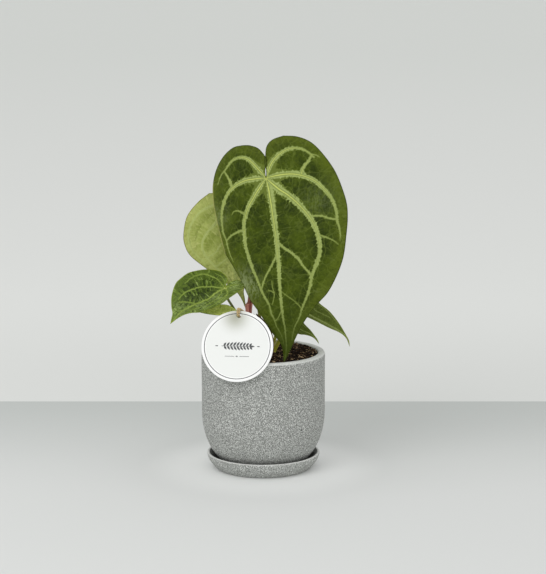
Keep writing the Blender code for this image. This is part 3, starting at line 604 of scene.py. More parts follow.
class Paint:
    """A material under construction. Each method adds one node and returns its output."""

    def __init__(self, name, roughness=0.5, specular=0.5):
        self.material = bpy.data.materials.new(name)
        self.material.use_nodes = True
        self.tree = self.material.node_tree
        self.shader = self.tree.nodes["Principled BSDF"]
        self.shader.inputs["Roughness"].default_value = roughness
        self.shader.inputs["Specular IOR Level"].default_value = specular

    def feed(self, socket, value):
        """Links or sets a socket. A colour is a screen colour, 0 to 255."""
        if isinstance(value, bpy.types.NodeSocket):
            self.tree.links.new(value, socket)
        elif socket.type == "RGBA":
            socket.default_value = (*linear(value), 1.0)
        else:
            socket.default_value = value

    def add(self, kind, inputs, output=0, **settings):
        node = self.tree.nodes.new("ShaderNode" + kind)
        for name, value in settings.items():
            setattr(node, name, value)
        for name, value in inputs.items():
            self.feed(node.inputs[name], value)
        return node.outputs[output]

    def attribute(self, name, output="Fac"):
        return self.add("Attribute", {}, output, attribute_name=name)

    def place(self):
        """Where a point is on its piece, in metres."""
        return self.add("TexCoord", {}, "Object")

    def stretched(self, vector, scale):
        return self.add("Mapping", {"Vector": vector, "Scale": scale})

    def part(self, vector, axis):
        return self.add("SeparateXYZ", {0: vector}, axis)

    def length(self, vector):
        return self.add("VectorMath", {0: vector}, "Value", operation="LENGTH")

    def math(self, operation, first, second=0.0):
        return self.add("Math", {0: first, 1: second}, operation=operation)

    def times(self, first, second):
        return self.math("MULTIPLY", first, second)

    def plus(self, first, second):
        return self.math("ADD", first, second)

    def minus(self, first, second):
        return self.math("SUBTRACT", first, second)

    def fade(self, value, start, stop):
        """0 up to start and 1 from stop on."""
        inputs = {"Value": value, "From Min": start, "From Max": stop}
        return self.add("MapRange", inputs, interpolation_type="SMOOTHSTEP")

    def slide(self, value, low, high, start=0.0, stop=1.0):
        """low up to start, high from stop on, and a straight line between."""
        inputs = {"Value": value, "From Min": start, "From Max": stop, "To Min": low, "To Max": high}
        return self.add("MapRange", inputs)

    def noise(self, vector, scale, detail=2.0, roughness=0.5):
        inputs = {"Vector": vector, "Scale": scale, "Detail": detail, "Roughness": roughness}
        return self.add("TexNoise", inputs, "Fac")

    def cells(self, vector, scale, feature="F1"):
        return self.add("TexVoronoi", {"Vector": vector, "Scale": scale}, "Distance", feature=feature)

    def mix(self, share, first, second):
        return self.add("Mix", {0: share, 6: first, 7: second}, 2, data_type="RGBA")

    def over(self, under, tone, share, amount):
        """A tone laid over a colour: as much as the amount where share is 1."""
        return self.mix(self.times(share, amount), under, tone)

    def bump(self, height, distance, strength):
        return self.add("Bump", {"Height": height, "Distance": distance, "Strength": strength})

    def finish(self, colour, roughness=None, normal=None):
        self.feed(self.shader.inputs["Base Color"], colour)
        if roughness is not None:
            self.feed(self.shader.inputs["Roughness"], roughness)
        if normal is not None:
            self.feed(self.shader.inputs["Normal"], normal)
        return self.material


def stoneware(name, lift, top, pale_rim_and_highlight, shade=None):
    """Matte grey glaze crowded with pale flecks and dark hollows, with a few pinholes and a pale band at the
    rim.

    lift is added to every tone, and a dish whose shade is given gets painted shade inside, round the pot's
    foot.
    """
    def grey(tone):
        return (tone + lift, tone + lift + 2, tone + lift - 2)

    paint = Paint(name, specular=0.2)
    place = paint.place()
    height = paint.part(place, "Z")
    # pale band at the top: on the pot the glaze turns plain there, on the saucer it is a painted highlight
    rim = paint.fade(height, *((top - depth) * MM for depth in pale_rim_and_highlight))
    broad = paint.noise(place, 26.0, 3.0)
    flecks = paint.fade(paint.noise(place, 1350.0, 0.0), 0.54, 0.62)
    sparks = paint.fade(paint.cells(place, 640.0), 0.3, 0.2)
    hollows = paint.fade(paint.noise(place, 1200.0, 0.0), 0.46, 0.38)
    grain = paint.noise(place, 2300.0, 1.0)
    holes = paint.fade(paint.cells(place, 46.0), 0.045, 0.03)

    coat = paint.mix(broad, grey(130), grey(142))
    coat = paint.over(coat, grey(76), hollows, 0.85)
    coat = paint.over(coat, grey(210), flecks, 0.85)
    coat = paint.over(coat, grey(240), sparks, 0.9)
    coat = paint.over(coat, grey(160), grain, 0.2)
    coat = paint.over(coat, grey(206), rim, 0.75)
    # painted shade in the dish's well round the pot's foot, darkest furthest in
    if shade:
        foot, flare = shade
        radius = paint.length(paint.stretched(place, (1.0, 1.0, 0.0)))
        reach = paint.minus(radius, paint.times(height, flare))
        coat = paint.over(coat, grey(44), paint.fade(reach, foot * MM, (foot - SHADE_FADE) * MM), 0.85)
    coat = paint.mix(holes, coat, grey(44))
    relief = paint.times(paint.minus(flecks, hollows), paint.minus(1.0, rim))
    relief = paint.minus(relief, paint.times(holes, 3.0))
    return paint.finish(coat, paint.slide(flecks, 0.72, 0.5), paint.bump(relief, 0.00012, 0.8))


def potting_mix():
    """Peat and bark: each chip has a tone of its own, with fine fibre along it."""
    paint = Paint("potting_mix", specular=0.12)
    place = paint.place()
    tone = paint.attribute("tone")
    grain = paint.fade(paint.noise(place, 1100.0, 4.0, 0.65), 0.3, 0.7)
    dark = paint.mix(grain, (14, 9, 6), (44, 30, 20))
    bark = paint.mix(grain, (58, 40, 28), (112, 82, 58))
    pale = paint.mix(grain, (140, 110, 78), (214, 188, 150))
    colour = paint.mix(paint.fade(tone, 0.4, 0.75), dark, bark)
    colour = paint.mix(paint.fade(tone, 0.82, 0.9), colour, pale)
    return paint.finish(colour, paint.slide(grain, 0.95, 0.75), paint.bump(grain, 0.0003, 0.8))


@dataclass
class BladeLook:
    """One face of a blade: its colours and its surface."""
    dark: tuple
    light: tuple
    outer: tuple               # towards the margin
    band: tuple                # along the veins
    line: tuple                # each vein's own fine line
    halo: tuple                # where the veins meet
    margin: tuple
    pale: tuple                # of the paler places, partly painted sheen
    tip: tuple
    roughness: float
    specular: float
    crinkle: float             # height of the relief
    folds: float               # how strongly narrow folds show, which run from each vein to the next: in the relief, and as painted shade and highlights
    grooves: float = 0.6       # how dark the groove beside each line is


BLADE_LOOKS = {
    "blade_upper_main": BladeLook(
        dark=(34, 48, 0), light=(66, 81, 8), outer=(94, 107, 28), band=(152, 166, 97),
        line=(186, 196, 104), halo=(102, 116, 46), margin=(48, 58, 6), pale=(134, 146, 100),
        tip=(34, 48, 2), roughness=0.46, specular=0.08, crinkle=0.6, folds=0.15),
    "blade_upper_young": BladeLook(
        dark=(24, 40, 0), light=(60, 80, 10), outer=(104, 126, 40), band=(138, 158, 68),
        line=(200, 212, 120), halo=(108, 130, 46), margin=(136, 152, 34), pale=(180, 202, 122),
        tip=(118, 134, 34), roughness=0.36, specular=0.16, crinkle=0.9, folds=0.7),
    "blade_upper_shady": BladeLook(
        dark=(54, 66, 18), light=(82, 96, 34), outer=(102, 116, 48), band=(142, 155, 88),
        line=(204, 212, 150), halo=(100, 114, 46), margin=(122, 132, 40), pale=(140, 154, 100),
        tip=(142, 142, 70), roughness=0.5, specular=0.06, crinkle=0.5, folds=0.3),
    "blade_upper_lit": BladeLook(
        dark=(116, 150, 30), light=(200, 218, 88), outer=(232, 242, 136), band=(222, 234, 124),
        line=(226, 234, 146), halo=(176, 194, 84), margin=(140, 162, 44), pale=(224, 234, 144),
        tip=(160, 180, 60), roughness=0.4, specular=0.15, crinkle=0.5, folds=0.8),
    "blade_lower": BladeLook(
        dark=(108, 126, 56), light=(130, 146, 72), outer=(134, 150, 76), band=(150, 164, 88),
        line=(174, 186, 110), halo=(144, 160, 82), margin=(108, 126, 46), pale=(150, 164, 94),
        tip=(134, 140, 64), roughness=0.55, specular=0.12, crinkle=0.5, folds=0.3, grooves=0.1),
    "blade_lower_pale": BladeLook(
        dark=(132, 145, 62), light=(168, 177, 100), outer=(172, 178, 104), band=(170, 181, 108),
        line=(190, 198, 130), halo=(172, 184, 106), margin=(116, 112, 26), pale=(206, 212, 134),
        tip=(170, 180, 98), roughness=0.55, specular=0.1, crinkle=0.6, folds=0.5, grooves=0.1),
}


def blade_paint(name, look):
    """Green skin with pale feathered bands along its veins, fine lines on them and a faint net between."""
    paint = Paint(name, specular=look.specular)
    patterns = blade_patterns(paint)
    skin = blade_skin(paint, patterns, look)
    skin = blade_bands(paint, patterns, look, skin)
    skin = blade_lines(paint, patterns, look, skin)
    skin = paint.over(skin, look.tip, paint.attribute("tip"), 0.7)
    skin = paint.over(skin, look.margin, paint.fade(patterns.edge, 0.9, 0.3), 0.8)
    skin = paint.mix(paint.attribute("cream"), skin, CREAM)
    gloss = paint.slide(patterns.mottle, look.roughness - 0.1, look.roughness + 0.15)
    relief = blade_relief(paint, patterns, look.folds)
    return paint.finish(skin, gloss, paint.bump(relief, look.crinkle * MM, 0.8))


def blade_patterns(paint):
    """What the layers of a blade's skin share: where the veins are, and the noises."""
    chart = paint.attribute("chart", "Vector")
    vein = paint.attribute("vein", "Vector")
    run, gap, feather = (paint.part(vein, axis) for axis in "XYZ")
    drift = paint.add("TexNoise", {"Vector": chart, "Scale": 0.13, "Detail": 2.0}, "Color")
    drift = paint.add("VectorMath", {0: drift, "Scale": 6.0}, operation="SCALE")
    crooked = paint.add("VectorMath", {0: chart, 1: drift}, operation="ADD")
    net = paint.cells(paint.stretched(crooked, (1.0, 0.75, 1.0)), 0.088, "DISTANCE_TO_EDGE")
    across_folds = paint.add("CombineXYZ", {0: run, 1: paint.times(gap, 0.13)})
    across_teeth = paint.add("CombineXYZ", {0: run, 1: paint.times(gap, 0.35)})
    return SimpleNamespace(
        chart=chart, gap=gap, feather=feather, crooked=crooked, net=net,
        edge=paint.attribute("edge"),
        strength=paint.slide(feather, 0.55, 1.0, 0.28, 1.2),
        broad=paint.noise(chart, 0.05, 3.0, 0.55),
        mottle=paint.noise(chart, 0.3, 5.0, 0.65),
        net_line=paint.fade(net, 0.05, 0.0),
        fine_net=paint.cells(crooked, 0.4, "DISTANCE_TO_EDGE"),
        fold=paint.noise(across_folds, 0.5, 2.5, 0.6),
        teeth=paint.noise(across_teeth, 0.42, 2.0, 0.6))


def blade_skin(paint, patterns, look):
    """The skin between the veins: mottled, with painted fold shading, paler in places, and covered by the
    net.
    """
    mottle, fold = patterns.mottle, patterns.fold
    skin = paint.mix(paint.fade(patterns.broad, 0.31, 0.69), look.dark, look.light)
    skin = paint.over(skin, look.outer, paint.fade(patterns.edge, 17.0, 1.0), 0.5)
    skin = paint.over(skin, look.outer, paint.fade(mottle, 0.5, 0.72), 0.4)
    skin = paint.over(skin, look.dark, paint.fade(mottle, 0.5, 0.3), 0.5)
    # painted shade in the folds' hollows and painted highlights on their crests
    skin = paint.over(skin, look.dark, paint.fade(fold, 0.47, 0.34), look.folds)
    skin = paint.over(skin, look.outer, paint.fade(fold, 0.5, 0.64), look.folds)
    skin = paint.over(skin, look.pale, paint.fade(fold, 0.58, 0.74), 0.8 * look.folds)
    streaks = paint.noise(paint.stretched(patterns.crooked, (1.0, 0.3, 1.0)), 0.6, 3.0, 0.65)
    # paler places, partly the skin's own tone and partly painted sheen and light, broken into streaks
    skin = paint.over(skin, look.pale, paint.attribute("pale"), paint.fade(streaks, 0.36, 0.62))
    skin = paint.over(skin, look.halo, patterns.net_line, paint.slide(patterns.gap, 0.26, 0.42, 9.0, 0.0))
    return paint.over(skin, look.halo, paint.fade(patterns.fine_net, 0.1, 0.0), 0.08)


def blade_bands(paint, patterns, look, skin):
    """The pale band with ragged edges along each vein, and the patch where the veins meet."""
    gap, feather, teeth = patterns.gap, patterns.feather, patterns.teeth
    ragged = paint.times(paint.minus(teeth, 0.5), paint.times(feather, 3.4))
    ragged = paint.minus(ragged, paint.times(patterns.net_line, feather))
    bloom = paint.fade(paint.plus(paint.attribute("halo"), ragged), 0.4, -0.4)
    skin = paint.over(skin, look.halo, bloom, 0.85)
    on_band = paint.fade(paint.plus(gap, paint.times(ragged, 0.7)), 0.35, -0.35)
    band = paint.over(look.band, look.halo, paint.fade(teeth, 0.45, 0.65), 0.35)
    return paint.over(skin, band, on_band, patterns.strength)


def blade_lines(paint, patterns, look, skin):
    """Each vein's fine bright line in its groove. Both are clearest near where the veins meet."""
    meeting = paint.length(patterns.chart)
    on_band = paint.fade(patterns.gap, 0.35, -0.1)
    clear = paint.times(on_band, paint.slide(meeting, 1.0, 0.35, 18.0, 75.0))
    for layer in range(LINE_LAYERS):
        offset = paint.math("ABSOLUTE", paint.attribute(f"line{layer}"))
        groove = paint.times(paint.fade(offset, 2.6, 1.6), clear)
        skin = paint.over(skin, look.halo, groove, look.grooves)
        core = paint.times(paint.fade(offset, 1.1, 0.6), clear)
        skin = paint.over(skin, look.line, core, patterns.strength)
    return paint.mix(paint.fade(meeting, 2.2, 0.8), skin, look.line)


def blade_relief(paint, patterns, folds):
    """Pillows between the lines of the net, on the mottle and the folds."""
    pillows = paint.fade(patterns.net, 0.0, 0.3)
    fine_pillows = paint.fade(patterns.fine_net, 0.0, 0.3)
    relief = paint.plus(pillows, paint.times(fine_pillows, 0.25))
    relief = paint.plus(relief, paint.times(patterns.mottle, 1.3))
    return paint.plus(relief, paint.times(patterns.fold, 3.0 * folds))


STALK_LOOKS = {                # each one's colour at the foot, at the top and of its streaks
    "stalk_red": ((132, 62, 54), (112, 124, 56), (150, 84, 70)),
    "stalk_olive": ((128, 134, 42), (84, 92, 34), (160, 164, 66)),
    "stalk_golden": ((172, 172, 48), (122, 130, 38), (214, 212, 92)),
}


def stalk_paint(name, low, high, streak):
    """A stalk's skin: it turns from one colour to another along its length, with fine lengthwise streaks."""
    paint = Paint(name, roughness=0.42)
    along = paint.attribute("along")
    around = paint.attribute("around", "Vector")
    fibres = paint.noise(paint.stretched(around, (1.0, 1.0, 0.04)), 3.2, 3.0, 0.6)
    freckles = paint.fade(paint.cells(paint.stretched(around, (1.0, 1.0, 0.35)), 1.3), 0.3, 0.12)
    colour = paint.mix(paint.fade(along, 0.15, 0.85), low, high)
    colour = paint.over(colour, streak, paint.fade(fibres, 0.42, 0.68), 0.55)
    colour = paint.over(colour, (214, 206, 160), freckles, 0.22)
    return paint.finish(colour, None, paint.bump(fibres, 0.0002, 0.7))


def sheath_paint():
    """Dusty maroon, papery and finely streaked, with a dark red stripe down its front right."""
    paint = Paint("sheath_red", roughness=0.45, specular=0.3)
    around = paint.attribute("around", "Vector")
    fibres = paint.noise(paint.stretched(around, (1.0, 1.0, 0.05)), 3.4, 3.0, 0.6)
    turn = paint.part(around, "X")
    colour = paint.mix(paint.fade(fibres, 0.35, 0.65), (172, 102, 92), (212, 146, 132))
    stripe = paint.times(paint.fade(turn, -0.2, 0.3), paint.fade(turn, 1.7, 1.2))
    stripe = paint.times(stripe, paint.fade(fibres, 0.3, 0.5))
    colour = paint.over(colour, (118, 28, 32), stripe, 0.8)
    return paint.finish(colour, None, paint.bump(fibres, 0.0003, 0.8))


def crown_paint():
    """Corky green-brown stem with pale rings where old leaves sat."""
    paint = Paint("crown_skin", specular=0.3)
    place = paint.place()
    cork = paint.noise(place, 420.0, 4.0, 0.65)
    rings = paint.noise(paint.stretched(place, (0.15, 0.15, 1.0)), 620.0, 2.0)
    colour = paint.mix(paint.fade(cork, 0.35, 0.65), (34, 26, 16), (70, 60, 32))
    colour = paint.over(colour, (112, 94, 60), paint.fade(rings, 0.55, 0.7), 0.5)
    return paint.finish(colour, paint.fade(cork, -0.4, 0.6), paint.bump(cork, 0.0006, 0.8))


def bract_paint():
    """Dry papery scale: dark brown with paler veins and a tan edge."""
    paint = Paint("dry_bract", specular=0.2)
    around = paint.attribute("around", "Vector")
    side = paint.math("ABSOLUTE", paint.attribute("side"))
    fibres = paint.noise(paint.stretched(around, (1.0, 1.0, 0.05)), 4.0, 4.0, 0.65)
    colour = paint.mix(paint.fade(fibres, 0.35, 0.7), (40, 26, 14), (86, 58, 34))
    colour = paint.mix(paint.fade(side, 0.72, 0.98), colour, (150, 118, 78))
    return paint.finish(colour, paint.fade(fibres, -1.2, 1.0), paint.bump(fibres, 0.0004, 0.8))


def card_paint():
    """White card: faint paper grain, a greyer face inside the printed ring, a painted shadow near the twine.
    """
    paint = Paint("white_card", roughness=0.62, specular=0.3)
    place = paint.place()
    grain = paint.noise(place, 2600.0, 3.0, 0.6)
    cloud = paint.noise(place, 60.0, 2.0)
    spot = paint.attribute("spot", "Vector")
    inside = paint.fade(paint.length(spot), 31.6, 31.0)
    # painted shadow of the leaves on the card: darkest just under the twine, fading out over 24 mm
    shade = paint.add("VectorMath", {0: spot, 1: CARD_SHADOW_MIDDLE}, "Value", operation="DISTANCE")
    colour = paint.mix(cloud, (244, 245, 244), (248, 248, 247))
    colour = paint.mix(inside, colour, (232, 234, 231))
    shade = paint.math("POWER", paint.fade(shade, 24.0, 0.0), 1.7)
    colour = paint.mix(shade, colour, (172, 174, 158))
    colour = paint.over(colour, (214, 214, 210), grain, 0.12)
    return paint.finish(colour, None, paint.bump(grain, 0.00003, 0.5))


def ink_paint(name, colour):
    paint = Paint(name, specular=0.3)
    grain = paint.noise(paint.place(), 3200.0, 3.0)
    shade = paint.mix(paint.fade(grain, 0.4, 0.75), colour, (150, 152, 152))
    return paint.finish(shade, paint.fade(grain, -1.0, 1.0))


def jute():
    """Tan bast fibre that winds along each ply."""
    paint = Paint("jute_twine", roughness=0.9, specular=0.15)
    around = paint.attribute("around", "Vector")
    fibres = paint.noise(paint.stretched(around, (1.0, 1.0, 0.12)), 5.0, 4.0, 0.7)
    colour = paint.mix(paint.fade(fibres, 0.3, 0.7), (150, 126, 82), (226, 204, 156))
    return paint.finish(colour, None, paint.bump(fibres, 0.0004, 1.0))


# Blades

def blade_axes(leaf):
    """Unit vectors across, down and out of the blade's upper face, and its length from base to tip."""
    chord = np.subtract(leaf.tip, leaf.base)
    length = np.linalg.norm(chord)
    down = chord / length
    turn, rise = (radians(angle) for angle in leaf.facing)
    out = np.array((sin(turn) * cos(rise), -cos(turn) * cos(rise), sin(rise)))
    out = unit(out - down * (out @ down))
    return np.cross(out, down), down, out, length


def blade_height(leaf, length, across, down):
    """How far the bent blade stands above its flat chart."""
    midrib = np.array(leaf.midrib, float)
    off_rib = across - np.interp(down, midrib[:, 1], midrib[:, 0])
    share = down / length
    right_share = 1 / (1 + np.exp(-off_rib / RIB_BLEND))
    slope = leaf.fold[0] * (1 - right_share) + leaf.fold[1] * right_share
    height = 4 * leaf.arch * share * (1 - share)
    height += slope * (np.hypot(off_rib, leaf.crease) - leaf.crease)
    height += leaf.droop * off_rib ** 2
    tall, long, left_phase, right_phase = leaf.waves
    phase = np.where(off_rib < 0, left_phase, right_phase)
    reach = np.minimum(abs(off_rib) / WAVE_REACH, WAVE_LIMIT)
    return height + tall * reach ** 2 * np.sin(tau * down / long + phase)


def half_chart(leaf, left, fineness):
    """One half's chart points: rows run from the midrib, or the lobe's inner edge, out to the margin."""
    lobe_rows, rib_rows, columns = (count * fineness for count in leaf.grid)
    sinus = leaf.left_sinus if left else leaf.right_sinus
    margin = leaf.left_margin if left else leaf.right_margin
    lobe = smooth_curve(sinus, lobe_rows + 1)[::-1]
    spine = np.vstack([lobe, smooth_curve(leaf.midrib, rib_rows + 1)[1:]])
    edge = smooth_curve(margin, lobe_rows + rib_rows + 1)
    share = np.linspace(0, 1, columns + 1)[:, None]
    return spine[:, None] * (1 - share) + edge[:, None] * share


def rim_chain(grid, lobe_rows):
    """Indices of one half's outline, from the stalk up over the lobe and down the margin to the tip."""
    return np.concatenate([grid[lobe_rows:0:-1, 0], grid[0, :1], grid[1:, -1]])


def distance_to_line(points, line):
    """Each point's distance from a line of points, signed by its side, and how far along the line it is."""
    steps = np.diff(line, axis=0)
    from_start = points[:, None] - line[:-1]
    along = np.clip((from_start * steps).sum(2) / (steps ** 2).sum(1), 0, 1)
    offset = from_start - along[..., None] * steps
    distance = np.hypot(offset[..., 0], offset[..., 1])
    nearest = distance.argmin(axis=1)
    every = np.arange(len(points))
    start, step = from_start[every, nearest], steps[nearest]
    side = np.where(step[:, 0] * start[:, 1] > step[:, 1] * start[:, 0], 1.0, -1.0)
    return distance[every, nearest] * side, (nearest + along[every, nearest]) / len(steps)


def vein_fields(leaf, chart):
    """What the veins do at each chart point.

    The first result has the run along the nearest vein, the gap to its pale band and the size of that
    band's teeth. Then come the distance in line widths from the veins of each layer, how far the veins
    press in above, and how far they stand out below.
    """
    nearest = np.tile([0.0, FAR, 0.0], (len(chart), 1))
    lines = np.full((LINE_LAYERS, len(chart)), FAR)
    groove = np.zeros(len(chart))
    ridge = np.zeros(len(chart))
    midrib = Vein(leaf.midrib, leaf.rib_width, 0, leaf.rib_lean)
    for number, vein in enumerate((midrib, *leaf.veins)):
        route = smooth_curve(vein.points, 6 * len(vein.points))
        length = path_length(route)
        offset, share = distance_to_line(chart, route)
        wide = vein.wide[0] + (vein.wide[1] - vein.wide[0]) * share
        if vein.points[0] == (0, 0):
            beyond_meeting = smoothstep(share * length, 0.0, 0.8 * leaf.halo)
            wide = wide * (MEETING_WIDTH + (1 - MEETING_WIDTH) * beyond_meeting)
        distance = abs(offset)
        gap = abs(offset + vein.lean * (1 - share) ** 3) - wide
        closer = gap < nearest[:, 1]
        run = share * length + VEIN_STEP * number + SIDE_STEP * (offset > 0)
        nearest[closer] = np.column_stack([run, gap, grown(TEETH_SIZE, wide)])[closer]
        in_lines = offset / grown(LINE_WIDTH, wide)
        nearer = abs(in_lines) < abs(lines[vein.layer])
        lines[vein.layer][nearer] = in_lines[nearer]
        room = np.maximum(wide, TINY)
        groove = np.maximum(groove, GROOVE_DEPTH * room * bell(distance, GROOVE_WIDTH * room))
        ridge = np.maximum(ridge, grown(RIDGE_HEIGHT, wide) * bell(distance, grown(RIDGE_WIDTH, wide)))
    return nearest, lines, groove, ridge


def grown(size, wide):
    """A size at a vein whose pale band has that half-width."""
    least, gain = size
    return least + gain * wide


def blade_sheet(leaf):
    """A blade's spots, faces and material slots: a fine upper face, a coarser lower one and a margin between.

    Each row of spots is (across, down, level, lap): level is 1 above, -1 below and 0 round the margin,
    and lap is how far the left lobe is lifted to lie over the right one.
    """
    spots, faces, slots = [], [], []
    count = 0
    for left in (True, False):
        chains = []
        for level, fineness in ((1, FINE), (-1, FINE // 2)):
            chart = half_chart(leaf, left, fineness)
            rows, columns = chart.shape[:2]
            chart = chart.reshape(-1, 2)
            spots.append(np.column_stack([chart, np.full(len(chart), level), lobe_lap(leaf, left, chart)]))
            faces += grid_faces(rows, columns, first=count)
            slots += [0 if level > 0 else 1] * ((rows - 1) * (columns - 1))
            indices = count + np.arange(rows * columns).reshape(rows, columns)
            chains.append(rim_chain(indices, leaf.grid[0] * fineness))
            count += rows * columns
        top, bottom = chains
        rim = margin_rim(leaf, left, np.vstack(spots)[top])
        spots.append(rim)
        middle = count + np.arange(len(rim))
        count += len(rim)
        for k in range(len(top) - 1):
            faces.append((top[k], top[k + 1], middle[k + 1], middle[k]))
        for k in range(len(bottom) - 1):
            faces.append((middle[2 * k], middle[2 * k + 1], middle[2 * k + 2], bottom[k + 1], bottom[k]))
        slots += [0] * (len(top) - 1) + [1] * (len(bottom) - 1)
    return merge_spots(np.vstack(spots), faces, slots)


def margin_rim(leaf, left, outline):
    """The spots that round off one half's margin, a little way outside its outline."""
    tangent = unit(np.gradient(outline[:, :2], axis=0))
    outward = np.stack([-tangent[:, 1], tangent[:, 0]], axis=1) * (-1 if left else 1)
    rim = outline.copy()
    rim[:, :2] += outward * RIM_BULGE * leaf.thickness
    rim[:, 2] = 0
    return rim


def make_blade(name, leaf, paints):
    """A closed blade, bent and set on the plant, with what its paints need to know at each point."""
    spots, faces, slots = blade_sheet(leaf)
    chart, level, lap = spots[:, :2], spots[:, 2], spots[:, 3]
    across, down, out, length = blade_axes(leaf)
    vein, lines, groove, ridge = vein_fields(leaf, chart)
    edge = margin_distance(leaf, chart)
    thickness = leaf.thickness * (EDGE_THICKNESS + (1 - EDGE_THICKNESS) * smoothstep(edge, 0.0, EDGE_REACH))
    height = blade_height(leaf, length, chart[:, 0], chart[:, 1]) + level * thickness / 2 + lap
    height += swelling(leaf, chart, vein[:, 1]) * smoothstep(edge, 0.0, SWELL_REACH)
    height -= np.where(level > 0, groove, 0.0)
    height -= np.where(level < 0, ridge * smoothstep(edge, 0.0, RIDGE_REACH), 0.0)
    points = np.array(leaf.base) + chart[:, :1] * across + chart[:, 1:] * down + height[:, None] * out

    blade = add_piece(name + "_blade", points, faces, name, paints)
    blade.data.polygons.foreach_set("material_index", slots)
    meeting = leaf.halo * bell(np.hypot(chart[:, 0], chart[:, 1]), leaf.halo)
    set_attribute(blade, "chart", np.column_stack([chart, np.zeros(len(chart))]))
    set_attribute(blade, "vein", vein)
    set_attribute(blade, "edge", edge)
    set_attribute(blade, "halo", vein[:, 1] - 0.45 * meeting - 0.5)
    set_attribute(blade, "tip", smoothstep(chart[:, 1] / length, leaf.tip_start, 1.0))
    set_attribute(blade, "pale", pale_and_sheen_places(leaf, chart))
    set_attribute(blade, "cream", cream_edge(leaf, chart, edge))
    for layer, line in enumerate(lines):
        set_attribute(blade, f"line{layer}", line)


def swelling(leaf, chart, gap):
    """How far the blade swells between its veins, with its smaller ripples."""
    height, size = leaf.ripple
    pillow = 1 - bell(np.maximum(gap, 0), QUILT_REACH)
    return leaf.quilt * pillow + 2 * height * rumple(chart, size, 2.0)


def pale_and_sheen_places(leaf, chart):
    """How pale the skin is at each point, partly as painted sheen: most in the middle of each of the leaf's
    pale spots.
    """
    pale = np.zeros(len(chart))
    for across, down, spread, strength in leaf.pale_and_sheen_spots:
        away = np.hypot(chart[:, 0] - across, chart[:, 1] - down)
        pale = np.maximum(pale, strength * bell(away, spread))
    return pale


def lobe_lap(leaf, left, chart):
    """The left lobe rises towards its inner edge, beyond the slit above the stalk."""
    if not left:
        return np.zeros(len(chart))
    return leaf.lap * smoothstep(chart[:, 1], *LAP_DOWN) * smoothstep(chart[:, 0], *LAP_ACROSS)


def margin_distance(leaf, chart):
    """Each chart point's distance from the blade's outline."""
    nearest = np.full(len(chart), FAR)
    for curve in (leaf.left_sinus, leaf.left_margin, leaf.right_sinus, leaf.right_margin):
        distance, _ = distance_to_line(chart, smooth_curve(curve, 5 * len(curve)))
        nearest = np.minimum(nearest, abs(distance))
    return nearest


def cream_edge(leaf, chart, edge):
    """How cream-coloured the skin is: only along one stretch of the left margin, to a millimetre from it."""
    if not leaf.pale_edge:
        return np.zeros(len(chart))
    first, last = leaf.pale_edge
    stretch = smoothstep(chart[:, 1], first - 6, first + 6) * smoothstep(chart[:, 1], last + 6, last - 6)
    return 0.7 * stretch * smoothstep(edge, 0.9, 0.35) * (chart[:, 0] < -30)


def merge_spots(spots, faces, slots):
    """Joins equal spots, and drops the faces that this closes up."""
    keys = np.round(spots * MERGE_FINENESS).astype(np.int64)
    _, keep, index = np.unique(keys, axis=0, return_index=True, return_inverse=True)
    index = index.ravel()
    kept_faces, kept_slots = [], []
    for face, slot in zip(faces, slots):
        corners = list(dict.fromkeys(int(index[corner]) for corner in face))
        if len(corners) > 2:
            kept_faces.append(corners)
            kept_slots.append(slot)
    return spots[keep], kept_faces, kept_slots


def make_blades():
    paints = {name: blade_paint(name, look) for name, look in BLADE_LOOKS.items()}
    for name, leaf in LEAVES.items():
        make_blade(name, leaf, (paints[leaf.upper], paints[leaf.lower]))


# Stalks, sheath, bract and crown

def stalk_line(stalk):
    """The middle of a stalk, which starts upright in the crown and ends square in its blade."""
    leaf = LEAVES[stalk.leaf]
    _, _, out, _ = blade_axes(leaf)
    base = np.array(leaf.base)
    end = base - out * (leaf.thickness / 2 + STALK_END_GAP)
    foot = np.array((*stalk.foot, STALK_START - STALK_ROOT))
    above_foot = foot + (0, 0, STALK_STRAIGHT)
    before_end = end - out * STALK_STRAIGHT
    return smooth_curve([foot, above_foot, *stalk.route, before_end, end], STALK_RINGS)


def make_stalk(name, stalk, paint):
    """A tapering stalk with faint ribs, a clasping foot and a slightly swollen joint under the blade."""
    route = stalk_line(stalk)
    share = np.linspace(0, 1, STALK_RINGS)
    length = path_length(route)
    radii = stalk.radii[0] + (stalk.radii[1] - stalk.radii[0]) * share
    more, reach = STALK_FOOT_SWELLING
    radii *= 1 + more * bell(share * length, reach)
    for more, place, reach in STALK_SWELLINGS:
        radii *= 1 + more * bell((1 - share) * length - place, reach)

    def ridge(angle, share):
        return 1 + 0.035 * np.cos(5 * angle + 2 * share) + 0.02 * np.cos(9 * angle)

    points, faces = tube(route, radii, STALK_SIDES, ridge)
    piece = add_piece(name + "_stalk", points, faces, name, (paint,))
    mark_tube(piece, len(route), STALK_SIDES, length, radii.mean())


def mark_tube(piece, rows, sides, length, radius):
    """Where each point of a tube lies along it, and on its unrolled skin, for the streaks."""
    share = np.repeat(np.linspace(0, 1, rows), sides)
    angle = np.tile(ring_angles(sides), rows)
    skin = np.column_stack([radius * np.cos(angle), radius * np.sin(angle), share * length])
    share = np.concatenate([share, [0, 1]])
    skin = np.vstack([skin, [0, 0, 0], [0, 0, length]])
    set_attribute(piece, "along", share)
    set_attribute(piece, "around", skin)


def make_stalks():
    paints = {name: stalk_paint(name, *colours) for name, colours in STALK_LOOKS.items()}
    for name, stalk in STALKS.items():
        make_stalk(name, stalk, paints[stalk.look])


